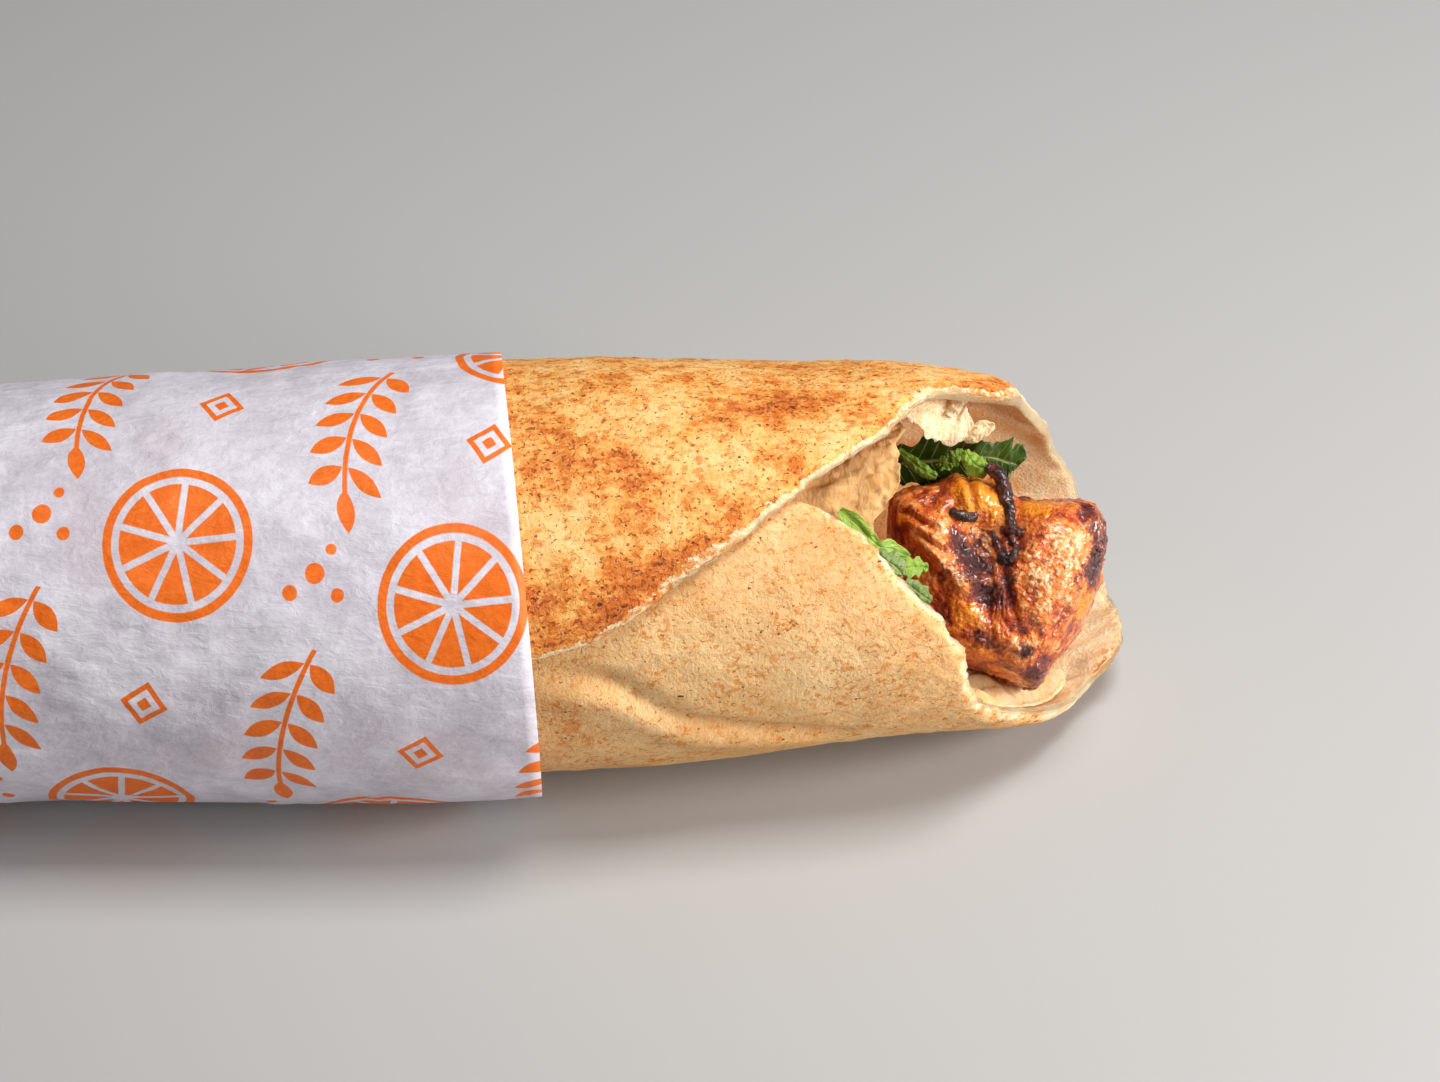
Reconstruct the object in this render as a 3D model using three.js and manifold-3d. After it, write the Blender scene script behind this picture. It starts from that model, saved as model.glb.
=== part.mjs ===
// A grilled chicken wrap: a round flatbread rolled round its filling, in a twisted paper sleeve,
// lying on its side. Millimetres, +X towards the open mouth of the roll, -Y towards the viewer,
// +Z up. The origin is on the surface that the wrap lies on, under the middle of its length.
import * as THREE from "three";
import { mergeVertices } from "three/addons/utils/BufferGeometryUtils.js";
import Module from "manifold-3d";

const wasm = await Module();
wasm.setup();

// ---- Driving dimensions ----
const DEG = Math.PI / 180;
const GAP = 0.35; // clearance between neighbouring solids

// The roll, station by station: X, its radius as the viewer sees it, how far its flattened underside
// is off the table, and how far its axis lies behind the line y = 0.
const ROLL = [
  [-108, 23.6, 1.6, 1.6],
  [-46, 25.4, 1.6, 1.7],
  [10, 27.0, 1.5, 1.0],
  [36, 26.5, 2.5, 1.1],
  [60, 25.2, 3.5, 1.9],
  [76, 24.4, 3.9, 2.9],
  [88, 23.2, 3.5, 3.8],
  [98, 20.9, 3.5, 4.8],
  [108, 19.6, 6.0, 5.8],
];
const WIDTH_SHARE = 1.07; // half width of the oval section, as a share of the radius
const HEIGHT_SHARE = 0.955; // half height, likewise
const AXIS_SHARE = 0.898; // height of the axis over the flattened underside, likewise

const BREAD_T = 2.2; // thickness of the flatbread
const PITCH = BREAD_T + 0.4; // one turn of bread and the gap to the next
const BREAD_REAR_X = -74;

// The rim of the round bread once it is rolled: roll angle in degrees, X. The first rows lie under
// the flap, then come the lower flap, the lip, the far wall, and the edge of the upper flap.
const RIM = [
  [-366, 8], [-355, 34], [-345, 46.5], [-338, 53.5], [-331, 60.9], [-323.4, 66.5],
  [-316.6, 69.5], [-303.3, 74.3], [-294.5, 77.4], [-285, 80.5], [-273.3, 82.6], [-258.8, 83.8],
  [-247.9, 85.7], [-236, 90.6], [-224, 95.6], [-215.6, 97.6], [-205.4, 100.7], [-195.8, 103.2],
  [-189.5, 105.8], [-181.6, 107.8], [-174, 108], [-164.4, 107.8], [-152.9, 107.1],
  [-136, 105.5], [-111.4, 103.4], [-91, 101.6], [-79, 99.6], [-64, 97.5], [-50, 95],
  [-38, 93.4], [-24, 92], [-16, 90.5], [-13, 88], [-11.5, 83], [-6, 78.8], [4, 75.1],
  [14.7, 70.5], [25.4, 63.5], [33.8, 58.1], [45.7, 51.3], [55.7, 43.8], [67.4, 36],
  [73, 26], [79, 12], [84, -4], [86, -12],
];
// The soft fold across the lower flap: X, roll angle.
const CREASE = [[26.3, -280.5], [36, -275.9], [43.6, -261.7], [49.3, -255.3], [55, -250.6], [68.7, -240.9]];

// The ragged edge of the inner ply: roll angle, X.
const PLY_EDGE = [
  [-75, 58], [-40, 68], [-18, 75.2], [-10.8, 75.8], [-2.8, 75.8], [6.5, 74.4], [16.5, 75.1],
  [24.4, 74.1], [29.9, 72.5], [41.3, 70.9], [60, 66], [100, 56],
];
const PLY_T = 1.3;
// The edge of the sauce-soaked fold in the bottom of the mouth: roll angle, X.
const FOLD_EDGE = [
  [-262, 80], [-248, 82.5], [-236, 87], [-224, 91], [-215, 93], [-205, 95.5], [-195, 97], [-186, 95],
];
const FOLD_T = 0.9;

const SLEEVE_X = 24.2; // the middle of the paper's cut edge
const SLEEVE_BOW = 0.9; // how far the cut reaches forward on the viewer's side
const SLEEVE_SKEW = 2.0; // how far it leans: back over the top, forward under the roll
const SLEEVE_SLACK = 1; // how far the paper stands off the roll below the flap's edge
const PAPER_T = 0.6;
const TAIL_X = -108; // end of the twisted tail
const NECK_X = -94;
const SHOULDER_X = -75.5; // where the paper starts to draw in

const MOUTH_X = 89; // the fillings are placed round this station, in a frame that faces the viewer
const VIEW_TILT = 52 * DEG;

const { lerp, smoothstep: smooth } = THREE.MathUtils;
const bump = (x, centre, width) => Math.exp(-(((x - centre) / width) ** 2));
const softMax = (a, b, k) => (a + b + Math.hypot(a - b, k)) / 2;

// A smooth curve through a table's rows, which rise in their first column.
function curve(table, column = 1) {
  const x = table.map((row) => row[0]);
  const y = table.map((row) => row[column]);
  const last = x.length - 1;
  const slope = x.map((_, i) => {
    const [a, b] = [Math.max(i - 1, 0), Math.min(i + 1, last)];
    return (y[b] - y[a]) / (x[b] - x[a]);
  });
  return (at) => {
    const clamped = Math.min(Math.max(at, x[0]), x[last]);
    let i = 0;
    while (i < last - 1 && clamped > x[i + 1]) i++;
    const h = x[i + 1] - x[i];
    const t = (clamped - x[i]) / h;
    return (
      (2 * t ** 3 - 3 * t ** 2 + 1) * y[i] +
      (t ** 3 - 2 * t ** 2 + t) * h * slope[i] +
      (3 * t ** 2 - 2 * t ** 3) * y[i + 1] +
      (t ** 3 - t ** 2) * h * slope[i + 1]
    );
  };
}

// ---- The roll ----
const rollRadius = curve(ROLL, 1);
const tableGap = curve(ROLL, 2);
const axisY = curve(ROLL, 3);
const axisZ = (x) => tableGap(x) + AXIS_SHARE * rollRadius(x);
const creaseAngle = curve(CREASE);

// The swells of the bare bread and the soft fold, the same for all its layers.
function swell(x, angle) {
  const wave = 0.22 * Math.sin(2 * angle * DEG + x / 13) + 0.16 * Math.sin(3 * angle * DEG - x / 8);
  const turn = ((angle - 80) % 360) - (angle > 80 ? 360 : 0) + 80; // from -280 up to 80
  const below = ((turn > 0 ? turn - 360 : turn) - creaseAngle(x)) * DEG * rollRadius(x);
  const fold = 0.55 * bump(below, 3.4, 3) - 1.0 * bump(below, -0.4, 1.8);
  const length = smooth(x, 22, 34) * (1 - smooth(x, 56, 72));
  return wave * smooth(x, 24, 44) + fold * length;
}

// A point of the roll's section. angle is in degrees from the top (0) over to the viewer's side (90);
// it falls over the back (-90) and the underside (-180) up to the viewer's side again (-270). lift is
// how far out the point is from the roll's own oval.
function ovalPoint(x, angle, lift) {
  const radius = rollRadius(x);
  return [
    x,
    axisY(x) - (WIDTH_SHARE * radius + lift) * Math.sin(angle * DEG),
    axisZ(x) + (HEIGHT_SHARE * radius + lift) * Math.cos(angle * DEG),
  ];
}

function rollPoint(x, angle, lift) {
  const [, y, z] = ovalPoint(x, angle, lift + swell(x, angle));
  return [x, y, softMax(z, tableGap(x) - lift, 1)];
}

// ---- Mesh helpers ----
function geometryOf(positions, index) {
  const geometry = new THREE.BufferGeometry();
  geometry.setAttribute("position", new THREE.Float32BufferAttribute(positions, 3));
  geometry.setIndex(index);
  return facingOut(mergeVertices(geometry, 1e-4));
}

function signedVolume(geometry) {
  const at = geometry.getAttribute("position");
  const corner = [0, 1, 2].map(() => new THREE.Vector3());
  let sum = 0;
  for (let i = 0; i < geometry.index.count; i += 3) {
    corner.forEach((c, k) => c.fromBufferAttribute(at, geometry.index.getX(i + k)));
    sum += corner[0].dot(corner[1].cross(corner[2])) / 6;
  }
  return sum;
}

function facingOut(geometry) {
  if (signedVolume(geometry) < 0) geometry.index.array.reverse();
  return geometry;
}

// A closed sheet: two grids of points over (u, v), side 0 and side 1, both split into triangles along
// the same diagonals and joined round their border.
function sheet(columns, rows, point) {
  const positions = [];
  const index = [];
  for (const side of [0, 1])
    for (let i = 0; i <= columns; i++)
      for (let j = 0; j <= rows; j++) positions.push(...point(i / columns, j / rows, side));
  const at = (side, i, j) => (side * (columns + 1) + i) * (rows + 1) + j;
  const quad = (a, b, c, d) => index.push(a, b, c, a, c, d);
  for (let i = 0; i < columns; i++)
    for (let j = 0; j < rows; j++) {
      quad(at(0, i, j), at(0, i + 1, j), at(0, i + 1, j + 1), at(0, i, j + 1));
      index.push(at(1, i, j), at(1, i + 1, j + 1), at(1, i + 1, j));
      index.push(at(1, i, j), at(1, i, j + 1), at(1, i + 1, j + 1));
    }
  for (let i = 0; i < columns; i++) {
    quad(at(0, i, 0), at(1, i, 0), at(1, i + 1, 0), at(0, i + 1, 0));
    quad(at(0, i, rows), at(0, i + 1, rows), at(1, i + 1, rows), at(1, i, rows));
  }
  for (let j = 0; j < rows; j++) {
    quad(at(0, 0, j), at(0, 0, j + 1), at(1, 0, j + 1), at(1, 0, j));
    quad(at(0, columns, j), at(1, columns, j), at(1, columns, j + 1), at(0, columns, j + 1));
  }
  return geometryOf(positions, index);
}

// A closed skin: rings of points round u, from one end point at v = 0 to the other at v = 1.
function skin(columns, rows, point) {
  const positions = [...point(0, 0), ...point(0, 1)];
  const index = [];
  for (let j = 1; j < rows; j++)
    for (let i = 0; i < columns; i++) positions.push(...point(i / columns, j / rows));
  const at = (i, j) => 2 + (j - 1) * columns + (i % columns);
  for (let i = 0; i < columns; i++) {
    index.push(0, at(i + 1, 1), at(i, 1));
    index.push(1, at(i, rows - 1), at(i + 1, rows - 1));
    for (let j = 1; j < rows - 1; j++) {
      index.push(at(i, j), at(i + 1, j), at(i + 1, j + 1));
      index.push(at(i, j), at(i + 1, j + 1), at(i, j + 1));
    }
  }
  return geometryOf(positions, index);
}

// A thin strip along stations of [x, y, z, half width, slope across], its faces turned to +Z.
function strip(stations, thickness, columns, rows, wave = 0) {
  const last = stations.length - 1;
  const numbered = stations.map((row, i) => [i / last, ...row]);
  const [x, y, z, half, slope] = [1, 2, 3, 4, 5].map((column) => curve(numbered, column));
  return sheet(columns, rows, (u, v, side) => {
    const along = new THREE.Vector2(x(u + 0.01) - x(u - 0.01), y(u + 0.01) - y(u - 0.01)).normalize();
    const across = (2 * v - 1) * half(u);
    const ripple = wave * Math.sin(9 * u + 4 * v) * Math.sin(5 * v + 3 * u);
    const taper = 1 - 0.4 * Math.abs(2 * v - 1) ** 3;
    return [
      x(u) - across * along.y,
      y(u) + across * along.x,
      z(u) + across * slope(u) + ripple + (side ? -1 : 1) * (thickness / 2) * taper,
    ];
  });
}

// A rounded stick along stations of [x, y, z, radius].
function stick(stations, columns = 6, rows = 8) {
  const last = stations.length - 1;
  const numbered = stations.map((row, i) => [i / last, ...row]);
  const [x, y, z, radius] = [1, 2, 3, 4].map((column) => curve(numbered, column));
  const centre = (t) => new THREE.Vector3(x(t), y(t), z(t));
  return skin(columns, rows, (u, v) => {
    const t = lerp(-0.02, 1.02, v);
    const tangent = centre(t + 0.03).sub(centre(t - 0.03)).normalize();
    const sideways = new THREE.Vector3(-tangent.y, tangent.x, 0).normalize();
    const normal = new THREE.Vector3().crossVectors(tangent, sideways);
    const round = radius(v) * Math.sin(Math.PI * v) ** 0.4;
    const offset = sideways
      .multiplyScalar(round * Math.cos(2 * Math.PI * u))
      .addScaledVector(normal, round * Math.sin(2 * Math.PI * u));
    const end = tangent.multiplyScalar(radius(v) * (smooth(v, 0.9, 1) - smooth(1 - v, 0.9, 1)));
    return centre(v).add(offset).add(end).toArray();
  });
}

function solidOf(geometry) {
  const merged = mergeVertices(geometry, 1e-4);
  return new wasm.Manifold(
    new wasm.Mesh({
      numProp: 3,
      vertProperties: merged.getAttribute("position").array,
      triVerts: new Uint32Array(merged.index.array),
    }),
  );
}

function joined(geometries) {
  const mesh = wasm.Manifold.union(geometries.map(solidOf)).getMesh();
  return geometryOf(Array.from(mesh.vertProperties), Array.from(mesh.triVerts));
}

// ---- Flatbread: a disc rolled into a spiral, so its round rim is both the flap and the mouth ----
const LAST_ANGLE = RIM[0][0];
const FIRST_ANGLE = RIM.at(-1)[0];
const rimX = curve(RIM);
const spiralLift = (angle) => PITCH * (1 + (angle - 88) / 360);
const rearX = (angle) =>
  BREAD_REAR_X + 50 * (smooth(angle, 40, FIRST_ANGLE) + smooth(-angle, 310, -LAST_ANGLE));

// Roll angles that are evenly spaced along the rim.
function rimAngles(count) {
  const steps = [[0, FIRST_ANGLE]];
  for (let angle = FIRST_ANGLE; angle > LAST_ANGLE; angle -= 0.5) {
    const length = Math.hypot(0.5 * DEG * 25, 0.7 * (rimX(angle) - rimX(angle - 0.5)));
    steps.push([steps.at(-1)[0] + length, angle - 0.5]);
  }
  const angleAt = curve(steps);
  return Array.from({ length: count + 1 }, (_, i) => angleAt((steps.at(-1)[0] * i) / count));
}

function flatbread() {
  const columns = 68;
  const angles = rimAngles(columns);
  return sheet(columns, 17, (u, v, side) => {
    const angle = angles[Math.round(u * columns)];
    const rag = 0.35 * Math.sin(angle * 0.61) * Math.sin(angle * 0.23 + 1);
    const x = lerp(rearX(angle), rimX(angle) + rag, 1 - (1 - v) ** 1.6);
    const bevel = 0.9 * smooth(v, 0.93, 1);
    return rollPoint(x, angle, spiralLift(angle) - (side ? BREAD_T : bevel));
  });
}

// ---- The bread's inner plies, where it has split at the mouth ----
const plyEdge = curve(PLY_EDGE);
const plyLift = (x, angle) => -3.4 - 3.4 * smooth(angle, 12, 50) * smooth(x, 58, 70);

function innerPly() {
  return sheet(20, 10, (u, v, side) => {
    const angle = lerp(-75, 100, u);
    const rag = 0.4 * Math.sin(angle * 1.3) * v;
    const x = lerp(BREAD_REAR_X + 4, plyEdge(angle) + rag, 1 - (1 - v) ** 2.4);
    const ripple = 0.25 * Math.sin(angle * 0.2 + x * 0.7) * smooth(x, 60, 68);
    return rollPoint(x, angle, plyLift(x, angle) + ripple - (side ? PLY_T : 0));
  });
}

const foldEdge = curve(FOLD_EDGE);

function soakedFold() {
  return sheet(14, 6, (u, v, side) => {
    const angle = lerp(-262, -186, u);
    const x = lerp(77, foldEdge(angle), v);
    const facet = 0.5 * Math.abs(Math.sin(angle * 0.13 + x * 0.25));
    return rollPoint(x, angle, -BREAD_T - 1 - facet + spiralLift(-220) - (side ? FOLD_T : 0));
  });
}

const TORN_STRIP = [
  [-13.9, 19.8, 12.6, 0.7, -0.2], [-12.0, 19.7, 11.6, 1.2, -0.5], [-9.9, 19.6, 9.8, 2.0, -0.6],
  [-8.3, 18.8, 8.8, 2.4, -0.6], [-7.0, 18.1, 8.4, 2.3, -0.4], [-5.8, 17.4, 8.0, 1.9, -0.2],
  [-4.6, 16.9, 7.8, 1.2, 0], [-3.4, 16.6, 7.6, 0.8, 0], [-2.1, 17.2, 7.4, 0.7, 0], [-0.7, 17.5, 7.2, 0.3, 0],
];
const TORN_BRIDGE = [
  [-7.0, 18.9, 8.4, 0.5, 0], [-6.1, 20.2, 7.6, 0.7, 0], [-5.1, 20.9, 6.2, 0.5, 0],
  [-3.5, 21.4, 4.4, 0.4, 0], [-2.1, 21.2, 3.6, 0.4, 0],
];

function tornStrip() {
  return joined([strip(TORN_STRIP, 0.9, 14, 4, 0.3), strip(TORN_BRIDGE, 0.7, 6, 3)]);
}

// ---- Chicken: the piece in the mouth, and the filling that runs through the roll behind it ----
const CHUNK_CENTRE = [-0.1, -3.3, 3.5];
const CHUNK_OUTLINE = [
  [-14, 12.6], [0, 13.6], [20, 15.1], [34, 15.9], [43, 15.2], [56, 12.8], [69, 11.6], [79, 11.4],
  [88, 13], [97, 13.6], [104, 14.2], [112, 15.4], [123, 15.9], [131, 16.8], [139, 17.4], [150, 16.4], [166, 14.6],
  [200, 13.5], [225, 13], [243, 12.6], [259, 12.6], [274, 13.7], [285, 15.2], [299, 13.4],
  [318, 12.6], [332, 12.2], [346, 12.6], [360, 13.6],
];
// Lobes and hollows of its front: x, y, half length along x and along y, height.
const CHUNK_RELIEF = [
  [-8.5, 3.5, 5.5, 6.5, 2.4], [-7, 12, 4, 3, 1], [-2.4, 12.6, 2.6, 2.6, 1.8],
  [6.5, -0.5, 7, 8, 2.2], [-3.5, 5.6, 3.2, 3.6, -4.2], [-3, -3.5, 1.8, 5, -1.8],
  [1.5, 9.5, 2, 3.5, -1.6], [12, 4, 3, 6, -1.5],
];
// Burnt scraps on it: x, y, z, radius.
const CHAR = [
  [[-2.4, 15.2, 6.4, 0.9], [-0.4, 14, 6.6, 1.1], [0.5, 10.8, 6.6, 1.1], [0.9, 7.5, 7.4, 0.9], [1, 4.7, 8.6, 0.6]],
  [[-7.4, 9.5, 8.4, 0.7], [-5.4, 8.7, 8.1, 0.9], [-3.6, 8.6, 7.2, 0.7]],
  [[-1.6, 6.8, 6.8, 0.5], [-0.9, 4.6, 8.0, 0.6], [-0.1, 2.8, 9.3, 0.8], [1, 3.2, 9.6, 0.8], [1.5, 4.8, 9.0, 0.6]],
  [[-0.5, 7.2, 7.4, 0.6], [1, 6.6, 8, 0.8], [2.6, 6.3, 8.5, 0.6]],
];
const CORE_REAR_X = -71;
const chunkRadius = curve(CHUNK_OUTLINE);

function chunkFront(x, y) {
  let z = 8.8;
  for (const [cx, cy, wide, high, height] of CHUNK_RELIEF)
    z += height * Math.exp(-(((x - cx) / wide) ** 2) - ((y - cy) / high) ** 2);
  return z - 4.5 * smooth(-0.589 * (x + 9) - 0.808 * (y + 5.5), -0.5, 3.5);
}

function chickenPiece() {
  const meat = skin(36, 22, (u, v) => {
    const turn = 360 * u;
    const spread = Math.sin(Math.PI * v) ** 0.75;
    const facing = Math.cos(Math.PI * v);
    const radius = chunkRadius(turn > 346 ? turn - 360 : turn) * (1 + 0.015 * Math.sin(7 * turn * DEG + 9 * v));
    const x = spread * radius * Math.cos(turn * DEG);
    const y = spread * radius * Math.sin(turn * DEG);
    const z = facing > 0 ? chunkFront(x, y) * facing ** 0.7 : -10 * (-facing) ** 0.8;
    return [x, y, z];
  });
  return joined([meat, ...CHAR.map((stations) => stick(stations))]);
}

function fillingCore() {
  return skin(20, 15, (u, v) => {
    const x = lerp(CORE_REAR_X, 70, 0.5 - 0.5 * Math.cos(Math.PI * v) ** 3 * 0.9 - 0.05 * Math.cos(Math.PI * v));
    const front = Math.sqrt(Math.max(0, 1 - smooth(x, 50, 76) ** 2 * 1.02));
    const intoEnd = Math.max(0, CORE_REAR_X + 9 - x) / 9;
    const rear = Math.sqrt(Math.max(0, 1 - intoEnd ** 2));
    const share = (v === 0 || v === 1 ? 0 : 1) * Math.min(front, rear);
    const knobs = 0.7 * Math.sin(5 * 2 * Math.PI * u + x / 4) * Math.sin(x / 6);
    const inset = -6.2 - Math.abs(knobs);
    const lift = inset * share - rollRadius(x) * (1 - share);
    return rollPoint(x, -360 * u, lift);
  });
}

// ---- Greens ----
const GREENS = {
  leaf_back_left: [
    [-14.1, 12.7, 1, 1.1, 0.5], [-11.5, 13.0, 1, 1.7, 0.6], [-8.7, 13.1, 0.4, 1.9, 0.6],
    [-6.0, 13.3, 0.2, 1.8, 0.7], [-3.2, 13.4, 0, 1.6, 0.6], [-1.3, 13.6, 0, 1.0, 0.5],
  ],
  stem_back: [
    [-13.7, 14.5, 6, 0.5, 0], [-12.3, 13.3, 6.4, 0.7, 0], [-10.9, 12.1, 7, 0.8, 0],
    [-9.7, 11.3, 7.4, 0.7, 0], [-8.7, 10.8, 7.8, 0.4, 0],
  ],
  leaf_back_small: [
    [-8.2, 12.0, 4.6, 0.4, 0], [-7.0, 12.8, 4.8, 0.8, 0.2], [-5.8, 13.5, 5, 0.8, 0.1], [-4.6, 14.2, 4.6, 0.4, 0],
  ],
  leaf_back_drop: [
    [-4.7, 14.3, 7.4, 0.4, 0], [-4.3, 13.3, 8.0, 0.9, 0], [-3.6, 12.3, 8.6, 1.3, 0],
    [-2.6, 11.8, 8.8, 1.1, 0], [-1.7, 11.7, 8.8, 0.6, 0],
  ],
  leaf_back_right: [
    [-3.2, 12.6, 3.2, 0.6, 0], [-1.8, 13.4, 2.8, 1.1, 0.3], [0, 13.2, 2.2, 1.7, 0.3],
    [1.4, 12.7, 2.2, 2.1, 0.2], [2.5, 12.4, 2.4, 1.5, 0], [2.9, 12.0, 2.4, 0.7, 0],
  ],
  leaf_front_stalk: [
    [-22.8, 6.6, 22.5, 0.5, 0], [-21.6, 5.5, 22.5, 0.8, 0], [-20.5, 4.5, 22.5, 0.9, 0],
    [-19.5, 3.3, 22.5, 0.8, 0], [-18.5, 2.4, 22.2, 0.6, 0], [-17.6, 1.7, 21.4, 0.6, 0],
    [-16.4, 1.5, 20.8, 0.8, -0.2], [-15.2, 1.0, 20.0, 0.8, -0.3], [-13.5, 0.2, 18.6, 0.3, 0],
  ],
  leaf_front_under: [
    [-18.2, 1.0, 22.8, 0.5, 0], [-17.2, 0.1, 22.9, 1.0, 0], [-16.1, -0.7, 22.8, 1.2, 0],
    [-15.2, -1.5, 22.6, 0.9, 0], [-14.7, -2.3, 22.4, 0.4, 0],
  ],
  leaf_front_tip: [
    [-15.3, -1.3, 20.8, 0.5, 0], [-14.1, -1.2, 20.0, 0.9, 0.2], [-13.0, -1.1, 19, 1.0, 0.2],
    [-11.9, -1.1, 18.2, 0.7, 0], [-11.0, -1.2, 17.6, 0.3, 0],
  ],
  leaf_front_lower: [
    [-14.5, -3.0, 21.8, 0.5, 0], [-13.6, -3.7, 21.5, 0.8, 0], [-12.6, -4.5, 21, 1.0, 0.1],
    [-11.6, -5.2, 20.2, 0.7, 0], [-10.9, -5.7, 19.6, 0.3, 0],
  ],
};

// ---- Paper sleeve: a bag of thin paper, drawn tight behind the roll and twisted shut ----
function sleeveEdge(angle) {
  const turn = VIEW_TILT - angle * DEG;
  return SLEEVE_X + SLEEVE_BOW * Math.cos(turn) - SLEEVE_SKEW * Math.sin(turn);
}

// How far out the wrapped bread reaches at a roll angle from -180 to 180.
function breadReach(angle) {
  if (angle <= 84) return spiralLift(angle);
  return lerp(spiralLift(84), spiralLift(-180), smooth(angle, 84, 180));
}

function sleevePoint(x, angle, depth) {
  const slack = SLEEVE_SLACK * bump(angle, 128, 30) * (0.35 + 0.65 * smooth(x, -60, 20));
  const [, y, z] = ovalPoint(x, angle, breadReach(angle) + GAP + PAPER_T + slack - depth);
  return [x, y, Math.max(z, depth)];
}

function tailPoint(x, angle) {
  const [, y, z] = sleevePoint(x, angle, 0);
  const drawn = smooth(-x, -SHOULDER_X, -NECK_X);
  const flare = smooth(-x, -NECK_X, -TAIL_X);
  const pleat = 1 + 0.3 * drawn * Math.cos((9 * angle + 4 * (x - NECK_X)) * DEG);
  const radius = (4.6 + 6.5 * flare) * pleat;
  const [centreY, centreZ] = [axisY(x), 20 - 5 * flare];
  return [
    x - 1.2 * flare * Math.cos(4 * angle * DEG),
    lerp(y, centreY - radius * Math.sin(angle * DEG), drawn),
    lerp(z, centreZ + 0.8 * radius * Math.cos(angle * DEG), drawn),
  ];
}

function paperSleeve() {
  const outside = [-107, -103, -99, -96, -93, -90, -87, -84, -80.5, -76, -68, -56, -43, -30, -16, -2, 9, 17];
  const inside = [17, 4, -16, -38, -58, -71, -75];
  const rows = outside.length + inside.length + 4;
  return skin(44, rows, (u, v) => {
    const angle = 180 - 360 * u;
    const row = Math.round(v * rows);
    if (row === 0) return [-102, axisY(-102), 16];
    if (row === rows) return [-78, axisY(-78), axisZ(-78)];
    if (row <= outside.length) return tailPoint(outside[row - 1], angle);
    const inner = row - outside.length - 3;
    if (inner < 0) return sleevePoint(sleeveEdge(angle), angle, inner === -2 ? 0 : PAPER_T);
    if (inner < inside.length) return sleevePoint(inside[inner], angle, PAPER_T);
    const [, y, z] = sleevePoint(-76.6, angle, PAPER_T);
    return [-76.6, lerp(axisY(-78), y, 0.7), lerp(axisZ(-78), z, 0.7)];
  });
}

// ---- Assembly ----
function piece(name, geometry, colour, roughness, parent) {
  const material = new THREE.MeshStandardMaterial({ color: colour, roughness, metalness: 0 });
  const mesh = new THREE.Mesh(geometry, material);
  mesh.name = name;
  parent.add(mesh);
  return mesh;
}

const wrap = new THREE.Group();
const mouth = new THREE.Group();
mouth.position.set(MOUTH_X, axisY(MOUTH_X), axisZ(MOUTH_X));
mouth.rotation.x = VIEW_TILT;
wrap.add(mouth);

piece("paper_sleeve", paperSleeve(), 0xe9e4ea, 0.6, wrap);
piece("flatbread", flatbread(), 0xe2b473, 0.8, wrap);
piece("bread_inner_ply", innerPly(), 0xe9d7b8, 0.85, wrap);
piece("bread_soaked_fold", soakedFold(), 0xf0c08a, 0.5, wrap);
piece("bread_torn_strip", tornStrip(), 0xefdcc0, 0.85, mouth);
piece("chicken_piece", chickenPiece(), 0xb4511c, 0.4, mouth).position.set(...CHUNK_CENTRE);
piece("filling_core", fillingCore(), 0x9c4a1c, 0.6, wrap);
for (const [name, stations] of Object.entries(GREENS))
  piece(name, strip(stations, 0.5, 8, 3, 0.15), 0x4f7a1f, 0.5, mouth);

export default wrap;
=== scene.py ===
# %% [markdown]
# # A grilled chicken wrap in its paper sleeve
#
# The wrap lies on its side. A round flatbread is rolled round grilled chicken and greens, and a bag
# of printed paper holds the closed end. The rigid model comes first: it is the frame that every
# piece below is fitted to, in metres, with +X towards the open mouth and -Y towards the viewer.

# %% The frame
import math

import bpy
import numpy as np
from mathutils import Matrix, Vector


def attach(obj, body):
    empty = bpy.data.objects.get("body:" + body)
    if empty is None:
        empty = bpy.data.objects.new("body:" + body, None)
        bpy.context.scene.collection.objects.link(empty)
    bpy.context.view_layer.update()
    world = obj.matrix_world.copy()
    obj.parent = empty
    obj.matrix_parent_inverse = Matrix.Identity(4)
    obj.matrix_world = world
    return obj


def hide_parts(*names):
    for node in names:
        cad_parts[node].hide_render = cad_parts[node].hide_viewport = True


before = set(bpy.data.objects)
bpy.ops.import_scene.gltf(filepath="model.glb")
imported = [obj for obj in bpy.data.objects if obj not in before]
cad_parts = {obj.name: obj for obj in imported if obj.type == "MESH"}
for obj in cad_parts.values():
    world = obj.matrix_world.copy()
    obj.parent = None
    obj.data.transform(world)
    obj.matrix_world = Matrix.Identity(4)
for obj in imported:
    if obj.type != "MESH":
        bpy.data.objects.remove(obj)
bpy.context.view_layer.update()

MM = 0.001
DEG = math.pi / 180
print("solids:", len(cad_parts))

# %% [markdown]
# ## The camera
#
# The view is from the wrap's own side and 38 degrees down, with a long lens, so the roll hardly
# tapers. It is set up first, because every later choice is judged through it. The camera looks
# straight at its target, with no shift and no depth of field, so other views can move it freely.

# %% The camera
AZIMUTH, ELEVATION = -2.5 * DEG, 38 * DEG
DISTANCE, RAISED = 0.5405, 2.3
LEVEL = math.cos(ELEVATION)
BACK = Vector((math.sin(AZIMUTH) * LEVEL, -math.cos(AZIMUTH) * LEVEL, math.sin(ELEVATION)))
RIGHT = Vector((math.cos(AZIMUTH), math.sin(AZIMUTH), 0))
UP = BACK.cross(RIGHT)
TARGET = Vector((51.1, 2.0, 26.5)) * MM + UP * RAISED * MM

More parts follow.
